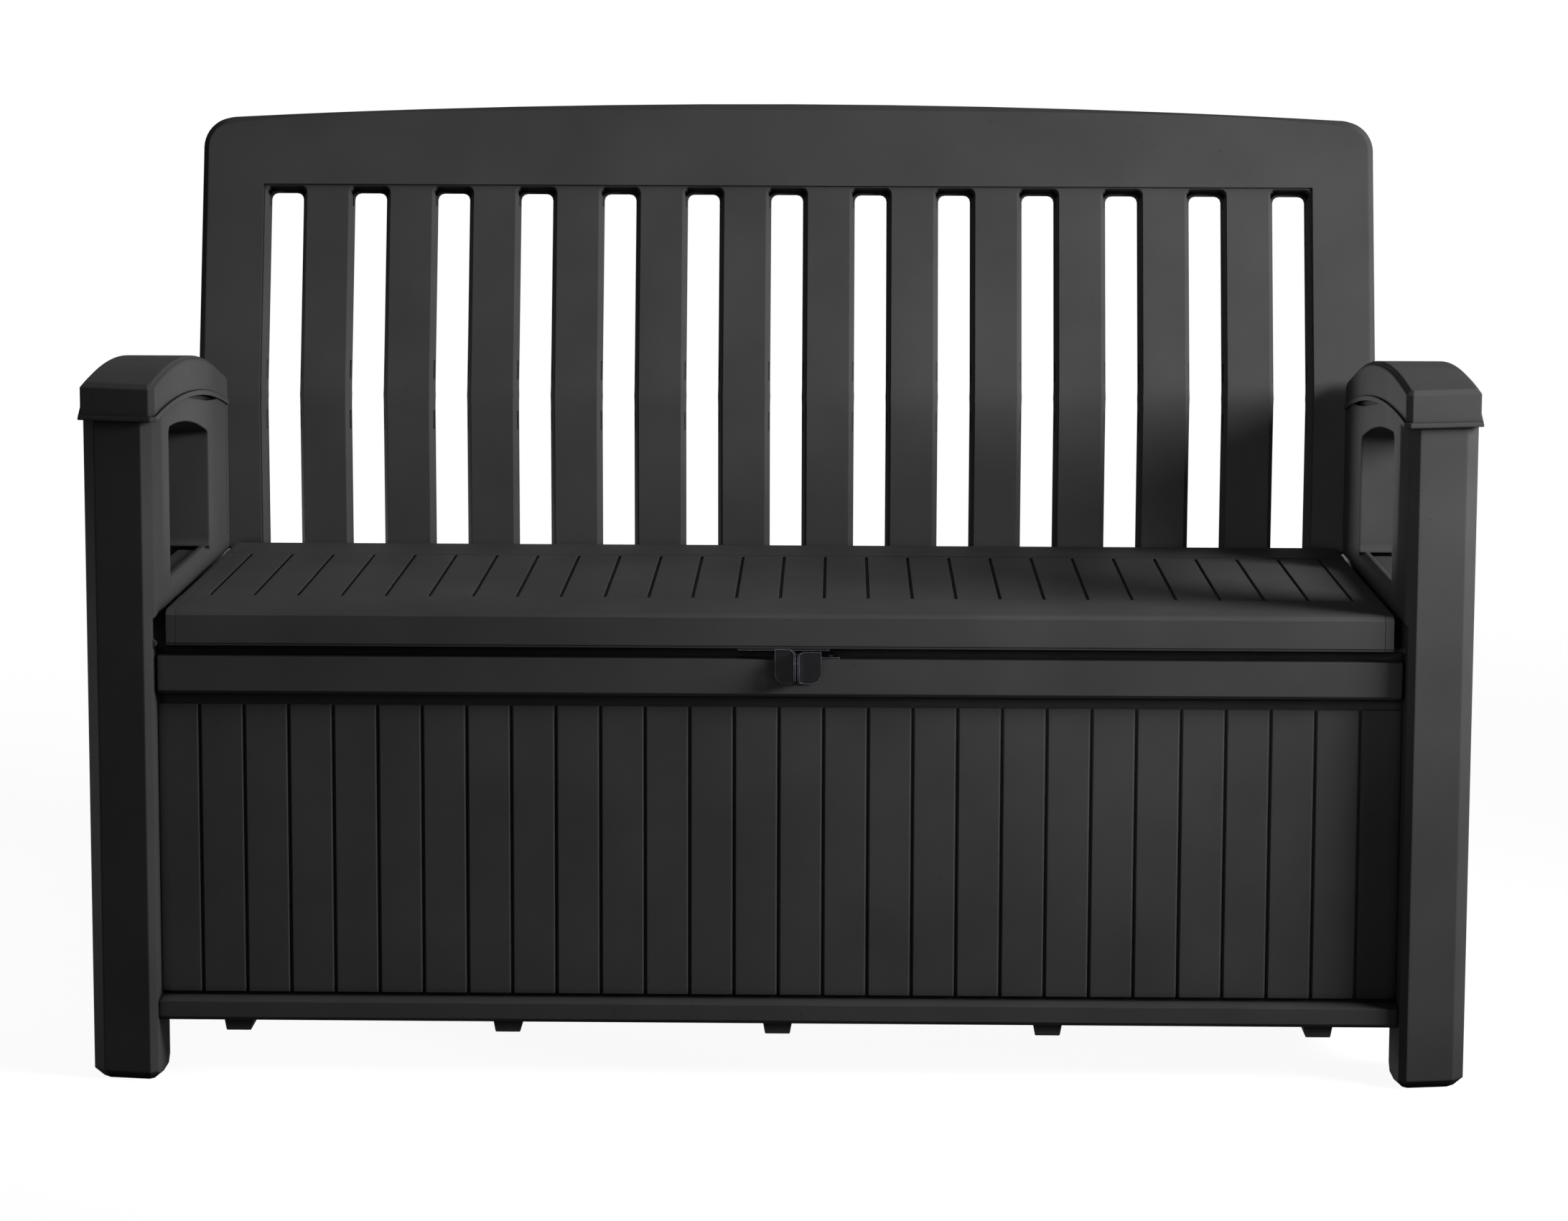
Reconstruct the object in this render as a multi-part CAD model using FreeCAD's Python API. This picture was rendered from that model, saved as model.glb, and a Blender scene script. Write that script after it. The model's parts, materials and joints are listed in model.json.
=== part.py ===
import FreeCAD, Part
import math
import os

# Garden storage bench in moulded resin: two side frames with arm caps, a slatted backrest in two shells,
# a planked box and a hinged seat lid. Millimetres, +Z up, front towards -Y.
# Depths (y) are measured backwards from the lid's front edge, and the finished pieces are moved at the end
# so that the origin lies on the ground in the middle of the bench.

# Seat lid
seat_height = 480.0
lid_width = 1224.0
lid_depth = 470.0
lid_height = 36.0
lid_wall = 4.5
lid_bevel_depth = 8.0
lid_bevel_height = 5.0
lid_nose_depth = 3.0
lid_nose_height = 3.3
lid_front_lip_height = 2.5
lid_front_lip_setback = 1.0
lid_end_thickness = 9.0
lid_end_spigot = 12.0
lid_skirt_height = 22.0
lid_skirt_wall = 3.5
hinge_channel = 30.0
underside_thickness = 2.5
stiffener_width = 25.0
stiffener_wall = 1.2
stiffener_inset = 90.0
stiffener_end_gap = 6.0

# Planks, shared by the lid, the panels and the side frames
plank_pitch = 44.85
groove_width = 4.5
groove_depth = 3.0
seat_slot_width = 3.0
seat_slot_depth = 3.0
seat_slot_front = 100.0
seat_slot_rear = 82.0
seat_band_margin = 4.0
seat_band_drop = 0.6

# Side frames and arms
lid_arm_gap = 5.0
arm_width = 75.0
arm_rise_front = 190.0
arm_rise_crown = 195.0
arm_rise_rear = 157.5
arm_crown_y = 150.0
arm_rear_gap = 12.0
post_projection = 14.0
post_depth = 78.0
post_front_slant = 11.0
post_outer_chamfer = 12.5
post_inner_chamfer_width = 15.0
post_inner_chamfer_depth = 9.0
post_inner_ease = 5.0
post_inner_ease_length = 40.0
foot_chamfer = 9.0
frame_wall = 3.2
frame_inner_wall = 5.0
side_recess = 8.0
side_recess_drop = 2.0
side_panel_thickness = 26.0
sill_rise = 20.0
sill_width = 33.0
sill_bevel = 5.0
sill_rim_width = 5.0
sill_step = 4.0
window_length = 246.0
window_rise_front = 176.0
window_rise_middle = 168.0
window_rise_rear = 143.0
window_corner = 9.0
rear_post_depth = 100.0
rear_post_beyond_lid = 50.0
rear_post_drop = 8.0
gusset_drop = 52.0
end_plate_depth = 14.0
end_plate_inset = 1.5
end_plate_rise = 192.0
end_plate_corner = 12.0
arm_groove_width = 11.0
arm_groove_depth = 4.0
reveal_front = 165.0
reveal_low = 305.0
reveal_rear = 368.0
reveal_front_rise = 196.0
reveal_low_rise = 177.0
reveal_rear_rise = 171.5
reveal_depth = 5.0
stop_nub_slope = 3.0
stop_nub_depth = 4.0
stop_nub_length = 8.0

# Arm caps
cap_front_thickness = 36.0
cap_crown_thickness = 42.0
cap_rear_thickness = 32.0
cap_overhang = 2.0
cap_lip_height = 5.0
cap_flare = 3.0
cap_flare_height = 13.0
cap_flare_foot = 1.0
cap_front_reach = 4.0
cap_wall = 2.5
cap_edge_bevel = 4.5
cap_corner_bevel = 6.0

# Box under the seat
ground_clearance = 60.0
lid_gap = 12.0
rail_setback = 6.0
rail_height = 38.0
rail_bevel = 3.5
rail_end_gap = 2.5
rail_wall = 4.0
plank_setback = 22.0
panel_wall = 5.5
shadow_gap = 13.0
base_rail_setback = 1.0
base_rail_height = 21.5
base_rail_slope = 1.5
plank_foot_gap = 3.5
base_rail_bevel = 4.0
support_lip_thickness = 4.0
ledge_width = 16.0
ledge_thickness = 4.0
floor_thickness = 3.0
runner_count = 5
runner_end_inset = 66.5
runner_height = 16.0
runner_setback = 10.0
runner_wall = 3.0
runner_top_width = 31.0
runner_foot_width = 25.0
runner_end_gap = 6.0
rear_rail_height = 60.0
rear_rail_thickness = 12.0
rear_wall = 5.5
tongue_length = 3.5
tongue_thickness = 4.0

# Backrest
back_side_overlap = 42.0
back_gap_at_seat = 8.0
back_gap_at_crease = 4.0
back_gap_at_top = 78.0
back_crease_rise = 166.0
back_top_rise = 486.0
back_crown = 18.0
back_corner_radius = 33.0
back_crease_radius = 120.0
back_shell_depth = 19.0
back_shell_wall = 2.8
back_edge_bevel = 6.0
back_stile_width = 68.4
back_opening_rise = 397.0
slat_count = 12
slat_width = 43.0
slat_draft = 7.5
slat_recess = 3.0
gap_corner_radius = 7.0
gap_corner_steps = 3
apron_height = 88.0
apron_thickness = 6.0
apron_side_gap = 5.0
tenon_length = 60.0
tenon_width = 18.0
tenon_depth = 12.0
tenon_inset = 7.0
tenon_setback = 2.0
back_screw_inset = 42.0

# Hinges
hinge_end_inset = 182.0
hinge_from_rear = 17.0
hinge_below_seat = 14.0
knuckle_reach = 7.0
knuckle_flat = 3.0
hinge_pin_radius = 3.5
hinge_ear_width = 8.0
hinge_lug_width = 28.0
hinge_side_gap = 0.5
hinge_pin_overrun = 2.0
hinge_pin_head = 5.0
hinge_plate_thickness = 4.0
hinge_plate_width = 62.0
hinge_plate_height = 44.0
hinge_plate_drop = 4.0
hinge_notch_width = 68.0

# Hasp for a padlock
hasp_metal = 2.0
hasp_centre_x = 18.3
hasp_flange_gap = 1.8
hasp_left_width = 21.1
hasp_right_width = 23.7
hasp_reach = 20.0
hasp_tab_drop = 34.0
hasp_strip_width = 91.0
hasp_strip_offset = 13.0
hasp_strip_depth = 19.0
hasp_strip_setback = 2.0
hasp_plate_width = 42.0
hasp_plate_depth = 16.0
hasp_corner_radius = 11.0
hasp_hole_reach = 12.0
hasp_eye_lift = 2.0
hasp_screw_inset = 10.5
padlock_hole_radius = 4.5

# Screws
screw_radius = 2.0
screw_head_radius = 4.2
screw_head_height = 2.4
head_sides = 6
shank_sides = 8
hinge_screw_length = 14.0
back_screw_length = 16.0
hasp_screw_length = 9.0

# Clearances
seat_clearance = 0.3
running_clearance = 0.05

# How far cutters reach past the faces that they cut
past = 1.0
beyond = 30.0

# Two places closer than this count as one
tolerance = 0.01

# Places worked out from the sizes above
lid_half = lid_width / 2
lid_bottom = seat_height - lid_height
lid_body_half = lid_half - lid_end_thickness
lid_inner_top = seat_height - lid_wall
lid_hollow_rear = lid_depth - hinge_channel
underside_top = lid_bottom + underside_thickness
hinge_y = lid_depth - hinge_from_rear
hinge_z = seat_height - hinge_below_seat
hinge_spacing = lid_half - hinge_end_inset
hinge_places = (-hinge_spacing, 0.0, hinge_spacing)
arm_inner = lid_half + lid_arm_gap
arm_outer = arm_inner + arm_width
arm_rear = lid_depth - arm_rear_gap
box_half = arm_inner + side_recess
side_panel_outer = box_half + side_panel_thickness
recess_top = seat_height - side_recess_drop
sill_top = seat_height + sill_rise
post_front = -post_projection
post_rear = post_front + post_depth
window_rear = post_rear + window_length
rear_post_back = lid_depth + rear_post_beyond_lid
rear_post_front = rear_post_back - rear_post_depth
rear_post_top = seat_height - rear_post_drop
cap_front = post_front - cap_front_reach - cap_overhang
end_plate_front = arm_rear - end_plate_depth
cap_rear = end_plate_front - seat_clearance
tongue_rear = cap_rear - cap_wall - seat_clearance
box_top = lid_bottom - lid_gap
box_bottom = ground_clearance
panel_half = box_half - seat_clearance
front_inner = plank_setback + panel_wall
rear_outer = lid_depth + back_gap_at_seat
rear_inner = rear_outer - rear_wall
floor_bottom = box_bottom + ledge_thickness
floor_top = floor_bottom + floor_thickness
crease_z = seat_height + back_crease_rise
crease_y = lid_depth + back_gap_at_crease
back_foot = rear_post_top
back_top = seat_height + back_top_rise
back_depth = 2 * back_shell_depth
back_zone_front = crease_y - beyond
back_zone_rear = crease_y + back_gap_at_top + back_depth + beyond
back_width = lid_width + 2 * back_side_overlap
opening_half = back_width / 2 - back_stile_width
slat_gap = (2 * opening_half - slat_count * slat_width) / (slat_count + 1)
slat_pitch = slat_width + slat_gap
runner_pitch = 2 * (lid_half - runner_end_inset) / (runner_count - 1)
plank_count = int(lid_width / plank_pitch) + 1
first_groove = -(plank_count - 2) / 2 * plank_pitch
groove_places = [first_groove + index * plank_pitch for index in range(plank_count - 1)]


def vector(x, y, z):
    return FreeCAD.Vector(x, y, z)


def box(x0, x1, y0, y1, z0, z1):
    return Part.makeBox(x1 - x0, y1 - y0, z1 - z0, vector(x0, y0, z0))


def outline_face(place, start, steps):
    """Face of a closed outline. A step is a point for a line, or two points for an arc."""
    edges = []
    here = place(*start)
    for step in steps:
        if isinstance(step[0], tuple):
            middle = place(*step[0])
            end = place(*step[1])
            edges.append(Part.Arc(here, middle, end).toShape())
        else:
            end = place(*step)
            edges.append(Part.makeLine(here, end))
        here = end
    if not here.isEqual(place(*start), tolerance):
        edges.append(Part.makeLine(here, place(*start)))
    return Part.Face(Part.Wire(edges))


def along_x(x0, x1, start, *steps, rise=0.0):
    """Solid of an outline in (y, z) between two x places, the second of them higher by rise."""
    face = outline_face(lambda y, z: vector(x0, y, z), start, steps)
    return face.extrude(vector(x1 - x0, 0, rise))


def along_y(y0, y1, start, *steps):
    """Solid of an outline in (x, z) between two y places."""
    face = outline_face(lambda x, z: vector(x, y0, z), start, steps)
    return face.extrude(vector(0, y1 - y0, 0))


def along_z(z0, z1, start, *steps):
    """Solid of an outline in (x, y) between two z places."""
    face = outline_face(lambda x, y: vector(x, y, z0), start, steps)
    return face.extrude(vector(0, 0, z1 - z0))


def edges_where(shape, test):
    """Edges whose two ends both pass the test."""
    return [edge for edge in shape.Edges if all(test(vertex.Point) for vertex in edge.Vertexes)]


def near(value, target):
    return abs(value - target) < tolerance


def mirrored(shape):
    return shape.mirror(vector(0, 0, 0), vector(1, 0, 0))


def fused(first, *others):
    return first.fuse(list(others)).removeSplitter()


def cylinder(radius, length, base, direction):
    return Part.makeCylinder(radius, length, base, direction)


def prism(sides, radius, length, base, direction):
    """Regular prism along Y or Z, whose corners lie radius from its axis."""
    across = vector(1, 0, 0)
    up = direction.cross(across)
    corners = []
    for index in range(sides):
        turn = math.pi * (2 * index + 1) / sides
        corners.append(base + across * (radius * math.cos(turn)) + up * (radius * math.sin(turn)))
    face = Part.Face(Part.makePolygon(corners + corners[:1]))
    return face.extrude(direction * length)


def screw(seat, direction, length):
    """Hexagon-head screw whose head sits on seat and whose shank runs along direction."""
    shank = prism(shank_sides, screw_radius, length, seat, direction)
    head_top = seat - direction * screw_head_height
    head = prism(head_sides, screw_head_radius, screw_head_height, head_top, direction)
    return fused(head, shank)


def screw_hole(seat, direction, length):
    start = seat - direction * past
    return prism(shank_sides, screw_radius + running_clearance, length + 2 * past, start, direction)


def screws(seats, direction, length):
    return Part.makeCompound([screw(seat, direction, length) for seat in seats])


def screw_holes(seats, direction, length):
    return [screw_hole(seat, direction, length) for seat in seats]


# Seat lid

def lid_front_and_top():
    """Outline of the lid from its front lip over the nose and the lowered plank band to the rear edge."""
    band_front = seat_slot_front - seat_band_margin
    band_rear = lid_depth - seat_slot_rear + seat_band_margin
    band_top = seat_height - seat_band_drop
    return [
        (lid_front_lip_setback, lid_bottom),
        (lid_front_lip_setback, lid_bottom + lid_front_lip_height),
        (0, lid_bottom + lid_front_lip_height),
        (0, seat_height - lid_bevel_height),
        (lid_nose_depth, seat_height - lid_bevel_height + lid_nose_height),
        (lid_bevel_depth, seat_height),
        (band_front, seat_height),
        (band_front, band_top),
        (band_rear, band_top),
        (band_rear, seat_height),
        (lid_depth, seat_height),
    ]


def lid_seat_panel():
    """Top of the seat in one profile: front, top wall, closed hollow and the hinge channel's skirt."""
    inner_front = lid_front_lip_setback + lid_wall
    panel = along_x(
        -lid_body_half, lid_body_half,
        *lid_front_and_top(),
        (lid_depth, seat_height - lid_skirt_height),
        (lid_depth - lid_skirt_wall, seat_height - lid_skirt_height),
        (lid_depth - lid_skirt_wall, lid_inner_top),
        (lid_hollow_rear, lid_inner_top),
        (lid_hollow_rear, underside_top),
        (lid_hollow_rear - lid_skirt_wall, underside_top),
        (lid_hollow_rear - lid_skirt_wall, lid_inner_top),
        (inner_front + lid_bevel_depth, lid_inner_top),
        (inner_front, lid_inner_top - lid_bevel_height),
        (inner_front, lid_bottom),
    )
    slots = []
    for x in groove_places:
        slots.append(box(x - seat_slot_width / 2, x + seat_slot_width / 2, seat_slot_front,
                         lid_depth - seat_slot_rear, seat_height - seat_slot_depth, seat_height + past))
    notches = []
    lugs = []
    bores = []
    for x in hinge_places:
        notches.append(box(x - hinge_notch_width / 2, x + hinge_notch_width / 2, lid_depth - lid_skirt_wall,
                           lid_depth + past, lid_bottom, lid_inner_top))
        low = x - hinge_lug_width / 2
        lugs.append(along_x(
            low, low + hinge_lug_width,
            (hinge_y - knuckle_reach, lid_inner_top),
            (hinge_y + knuckle_reach, lid_inner_top),
            (hinge_y + knuckle_reach, hinge_z - knuckle_flat),
            (hinge_y + knuckle_flat, hinge_z - knuckle_reach),
            (hinge_y - knuckle_flat, hinge_z - knuckle_reach),
            (hinge_y - knuckle_reach, hinge_z - knuckle_flat),
        ))
        bores.append(cylinder(hinge_pin_radius + running_clearance, hinge_lug_width + 2 * past,
                              vector(low - past, hinge_y, hinge_z), vector(1, 0, 0)))
    panel = panel.cut(notches)
    panel = fused(panel, *lugs)
    return panel.cut(slots + bores)


def lid_underside_panel():
    front = lid_front_lip_setback + lid_wall + seat_clearance
    panel = box(-lid_body_half + seat_clearance, lid_body_half - seat_clearance, front, lid_hollow_rear,
                lid_bottom, underside_top)
    return panel.cut(lid_hasp_holes())


def lid_end_cap():
    """Right-hand end of the lid, with a spigot that plugs into the hollow seat panel."""
    skirt_bottom = seat_height - lid_skirt_height
    plate = along_x(
        lid_body_half, lid_half,
        *lid_front_and_top(),
        (lid_depth, skirt_bottom),
        (lid_hollow_rear, skirt_bottom),
        (lid_hollow_rear, lid_bottom),
    )
    spigot_front = lid_front_lip_setback + lid_wall + lid_bevel_depth
    spigot = box(lid_body_half - lid_end_spigot, lid_body_half,
                 spigot_front, lid_hollow_rear - lid_skirt_wall - seat_clearance,
                 underside_top + seat_clearance, lid_inner_top - seat_clearance)
    return fused(plate, spigot)


def lid_stiffener(y):
    """Rectangular steel tube between the top wall and the underside panel."""
    half = lid_body_half - lid_end_spigot - stiffener_end_gap
    outer = box(-half, half, y, y + stiffener_width, underside_top, lid_inner_top)
    inner = box(-half - past, half + past, y + stiffener_wall, y + stiffener_width - stiffener_wall,
                underside_top + stiffener_wall, lid_inner_top - stiffener_wall)
    return outer.cut(inner)


# Side frames and arm caps

def below_arm_line(offset, x0, x1, rise=0.0):
    """Everything below the arm's arched top line, raised by offset and by rise more at the second x place."""
    front = cap_front - beyond
    rear = cap_rear + beyond
    return along_x(
        x0, x1,
        (front, -beyond),
        (front, seat_height + arm_rise_front + offset),
        (cap_front, seat_height + arm_rise_front + offset),
        ((arm_crown_y, seat_height + arm_rise_crown + offset),
         (cap_rear, seat_height + arm_rise_rear + offset)),
        (rear, seat_height + arm_rise_rear + offset),
        (rear, -beyond),
        rise=rise,
    )


def below_cap_line(drop, x0, x1):
    """Everything below the cap's arched top, lowered by drop."""
    front_z = seat_height + arm_rise_front + cap_front_thickness - drop
    crown_z = seat_height + arm_rise_crown + cap_crown_thickness - drop
    rear_z = seat_height + arm_rise_rear + cap_rear_thickness - drop
    return along_x(
        x0, x1,
        (cap_front, 0),
        (cap_front, front_z),
        ((arm_crown_y, crown_z), (cap_rear, rear_z)),
        (cap_rear, 0),
    )


def slanted_front(x, front):
    """Depth at x of a front face that turns outwards, where front is its depth at the arm's inner face."""
    return front + post_front_slant * (x - arm_inner) / arm_width


def slanted_block(x0, x1, front, rear):
    """Upright block with a slanted front face."""
    return along_z(
        0, back_top,
        (x0, slanted_front(x0, front)),
        (x1, slanted_front(x1, front)),
        (x1, rear),
        (x0, rear),
    )


def post_section(inset):
    """Plan of the front post, drawn in by inset, as (start, steps)."""
    inner = arm_inner + inset
    outer = arm_outer - inset
    front = post_front + inset
    rear = post_rear - inset
    face_inner = inner + post_inner_chamfer_width
    face_outer = outer - post_outer_chamfer
    return (
        (outer, rear),
        (outer, slanted_front(face_outer, front) + post_outer_chamfer),
        (face_outer, slanted_front(face_outer, front)),
        (face_inner, slanted_front(face_inner, front)),
        (inner + post_inner_ease, slanted_front(face_inner, front) + post_inner_chamfer_depth),
        (inner, front + post_inner_ease_length),
        (inner, rear),
    )


def with_foot_chamfer(post):
    return post.makeChamfer(foot_chamfer, edges_where(post, lambda point: near(point.z, 0)))


def arm_window():
    """Cutter for the opening between arm and sill."""
    middle_y = (post_rear + window_rear) / 2
    cutter = along_x(
        arm_inner - beyond, arm_outer + beyond,
        (post_rear, sill_top),
        (post_rear, seat_height + window_rise_front),
        ((middle_y, seat_height + window_rise_middle), (window_rear, seat_height + window_rise_rear)),
        (window_rear, sill_top),
    )
    corners = [edge for edge in cutter.Edges if near(edge.Length, arm_width + 2 * beyond)]
    return cutter.makeFillet(window_corner, corners)


def side_grooves():
    """Plank grooves on the outside of the inset side panel."""
    span = rear_post_front - post_rear
    count = int(span / plank_pitch)
    first = post_rear + (span - (count - 1) * plank_pitch) / 2
    grooves = []
    for index in range(count):
        y = first + index * plank_pitch
        grooves.append(along_z(
            box_bottom - past, recess_top - groove_width,
            (side_panel_outer + past, y - groove_width / 2),
            (side_panel_outer, y - groove_width / 2),
            (side_panel_outer - groove_depth, y),
            (side_panel_outer, y + groove_width / 2),
            (side_panel_outer + past, y + groove_width / 2),
        ))
    return grooves


def tenon_box(clearance):
    """Backrest tenon, or its socket when clearance is added."""
    tenon_y = back_point(back_foot - crease_z, back_shell_depth)[0] + tenon_setback
    right = back_width / 2 - tenon_inset
    return box(right - tenon_width - clearance, right + clearance,
               tenon_y - clearance, tenon_y + tenon_depth + clearance,
               back_foot - tenon_length - clearance, back_foot + clearance)


def arm_top_space():
    """Space under the arm's top: a tongue that stands up inside the cap, and a lower rear end."""
    left = arm_inner - beyond
    right = arm_outer + beyond
    tongue = below_arm_line(cap_lip_height - seat_clearance, left, right).common(
        box(left, right, cap_front - beyond, tongue_rear, -beyond, back_top))
    return fused(tongue, below_arm_line(-seat_clearance, left, right))


def arm_end_plate():
    """Upright plate that closes the arm behind its cap, with round upper corners."""
    top = seat_height + end_plate_rise
    plate = box(arm_inner + end_plate_inset, arm_outer - end_plate_inset, end_plate_front, arm_rear,
                recess_top - gusset_drop, top)
    corners = [edge for edge in edges_where(plate, lambda point: near(point.z, top))
               if near(edge.Length, end_plate_depth)]
    return plate.makeFillet(end_plate_corner, corners)


def arm_groove():
    """Dark groove down the inner face of the arm, in front of its end plate."""
    return box(arm_inner - past, arm_inner + arm_groove_depth,
               end_plate_front - arm_groove_width, end_plate_front,
               sill_top - sill_bevel, seat_height + arm_rise_crown + cap_crown_thickness)


def arm_reveal():
    """Wedge cut from the arm's inner face, which leaves a dark gap under the cap's edge."""
    top = seat_height + arm_rise_crown + cap_crown_thickness
    return along_x(
        arm_inner - past, arm_inner + reveal_depth,
        (reveal_front, seat_height + reveal_front_rise),
        (reveal_low, seat_height + reveal_low_rise),
        (reveal_rear, seat_height + reveal_rear_rise),
        (reveal_rear, top),
        (reveal_front, top),
    )


def lid_stop_nub():
    """Small nub on the front post beside the lid's lower edge."""
    return along_y(
        0, stop_nub_length,
        (box_half, lid_bottom - stop_nub_slope),
        (box_half - stop_nub_depth, lid_bottom),
        (box_half - stop_nub_depth, lid_bottom + stop_nub_slope),
        (box_half, lid_bottom + 2 * stop_nub_slope),
    )


def side_frame():
    """Right-hand frame: front post, arm, sill, planked panel and rear post in one hollow moulding."""
    arm_top = arm_top_space()
    high = seat_height + arm_rise_crown + cap_crown_thickness
    post = along_z(0, high, *post_section(0))
    post = with_foot_chamfer(post)
    arm = along_x(
        arm_inner, arm_outer,
        (post_rear - frame_wall, sill_top),
        (window_rear, sill_top),
        (window_rear, recess_top),
        (rear_post_front, recess_top - gusset_drop),
        (end_plate_front, recess_top - gusset_drop),
        (end_plate_front, high),
        (post_rear - frame_wall, high),
    )
    sill = along_y(
        post_rear - frame_wall, end_plate_front,
        (arm_inner, recess_top),
        (arm_inner, sill_top - sill_bevel),
        (arm_inner + sill_bevel, sill_top),
        (arm_inner + sill_bevel + sill_rim_width, sill_top),
        (arm_inner + sill_bevel + sill_rim_width, sill_top - sill_step),
        (arm_inner + sill_width, sill_top - sill_step),
        (arm_inner + sill_width, recess_top),
    )
    panel = box(box_half, side_panel_outer, post_rear - frame_wall, rear_post_front + frame_wall,
                box_bottom, recess_top)
    rear_post = box(box_half, arm_outer, rear_post_front, rear_post_back, 0, rear_post_top)
    rear_post = with_foot_chamfer(rear_post)
    lid_recess = along_y(
        post_front - beyond, rear_post_back + beyond,
        (arm_inner - beyond, -beyond),
        (box_half, -beyond),
        (box_half, recess_top - side_recess),
        (arm_inner, recess_top),
        (arm_inner - beyond, recess_top),
    )
    frame = fused(post.common(arm_top), arm.common(arm_top), sill, panel, rear_post, arm_end_plate())
    frame = frame.cut([arm_window(), lid_recess, arm_groove(), arm_reveal(), tenon_box(seat_clearance),
                       front_tongue(seat_clearance), rear_tongue(seat_clearance)]
                      + side_grooves() + side_hollows())
    return fused(frame, lid_stop_nub())


def side_hollows():
    """Hollows of the frame: the post and arm open under the cap, the panel and rear post open elsewhere."""
    high = seat_height + arm_rise_crown + cap_crown_thickness
    post = along_z(foot_chamfer, high, *post_section(frame_wall))
    inner_strip = box(arm_inner, box_half + frame_inner_wall, post_front, post_rear,
                      0, recess_top + frame_wall)
    post = post.cut(inner_strip)
    rear_arm = box(arm_inner + arm_groove_depth + frame_wall, arm_outer - frame_wall,
                   window_rear + frame_wall, end_plate_front - frame_wall, sill_top + frame_wall, high)
    panel = box(box_half + frame_inner_wall, side_panel_outer - frame_wall - groove_depth,
                post_rear + frame_wall, rear_post_front - frame_wall, box_bottom - past,
                recess_top - frame_wall)
    rear_post = box(box_half + frame_inner_wall, arm_outer - frame_wall, rear_post_front + frame_wall,
                    rear_post_back - frame_wall, foot_chamfer, rear_post_top - tenon_length)
    return [post, rear_arm, panel, rear_post]


def arm_cap():
    """Right-hand arm cap: arched hollow cover with bevelled upper edges, a lip and a flared outer side."""
    inner = arm_inner
    outer = arm_outer
    body_front = cap_front + cap_overhang
    lip_inner = inner - cap_overhang
    arm_below = below_arm_line(0, inner - beyond, outer + beyond)
    body = below_cap_line(0, inner, outer).common(slanted_block(inner, outer, body_front, cap_rear))
    body = body.cut(arm_below)
    body = with_corner_bevel(body, inner, body_front)
    upper = [edge for edge in edges_where(body, lambda point: point.z > cap_middle(point.y))
             if not near(edge.CenterOfMass.y, cap_rear)]
    body = body.makeChamfer(cap_edge_bevel, upper)
    lip = below_arm_line(cap_lip_height, lip_inner, outer + cap_overhang).common(
        slanted_block(lip_inner, outer + cap_overhang, cap_front, cap_rear))
    lip = lip.cut(arm_below)
    lip = with_corner_bevel(lip, lip_inner, cap_front)
    flare = below_arm_line(cap_flare_foot, outer + cap_flare, outer, cap_flare_height - cap_flare_foot).common(
        slanted_block(outer, outer + cap_flare, body_front, cap_rear))
    flare = flare.cut(arm_below)
    arm_space = below_arm_line(cap_lip_height, inner - seat_clearance, outer + seat_clearance).common(
        slanted_block(inner - beyond, outer + beyond, post_front - seat_clearance,
                      tongue_rear + seat_clearance))
    hollow = below_cap_line(cap_wall, inner + cap_wall, outer - cap_wall).common(
        slanted_block(inner, outer, post_front + cap_wall, cap_rear - cap_wall))
    return fused(body, lip, flare).cut([arm_space, hollow])


def with_corner_bevel(piece, x, front):
    """Bevels the upright edge of a cap's piece at the corner towards the seat."""
    y = slanted_front(x, front)
    corner = edges_where(piece, lambda point: near(point.x, x) and near(point.y, y))
    return piece.makeChamfer(cap_corner_bevel, corner)


def cap_middle(y):
    """Height halfway up the cap at a depth, on straight lines between its front, crown and rear."""
    front = seat_height + arm_rise_front + cap_front_thickness / 2
    rear = seat_height + arm_rise_rear + cap_rear_thickness / 2
    share = (y - cap_front) / (cap_rear - cap_front)
    return front + (rear - front) * share


# Box panels

def front_grooves():
    grooves = []
    for x in groove_places:
        grooves.append(along_z(
            box_bottom + base_rail_height, box_top - rail_height - shadow_gap + past,
            (x - groove_width / 2, plank_setback - past),
            (x - groove_width / 2, plank_setback),
            (x, plank_setback + groove_depth),
            (x + groove_width / 2, plank_setback),
            (x + groove_width / 2, plank_setback - past),
        ))
    return grooves


def front_tongue(clearance):
    """Tongue at the front panel's right end, or its slot when clearance is added."""
    middle = plank_setback + panel_wall / 2
    return box(panel_half - past, box_half + tongue_length + clearance,
               middle - tongue_thickness / 2 - clearance, middle + tongue_thickness / 2 + clearance,
               box_bottom + base_rail_height - clearance, box_top - rail_height + clearance)


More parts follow.
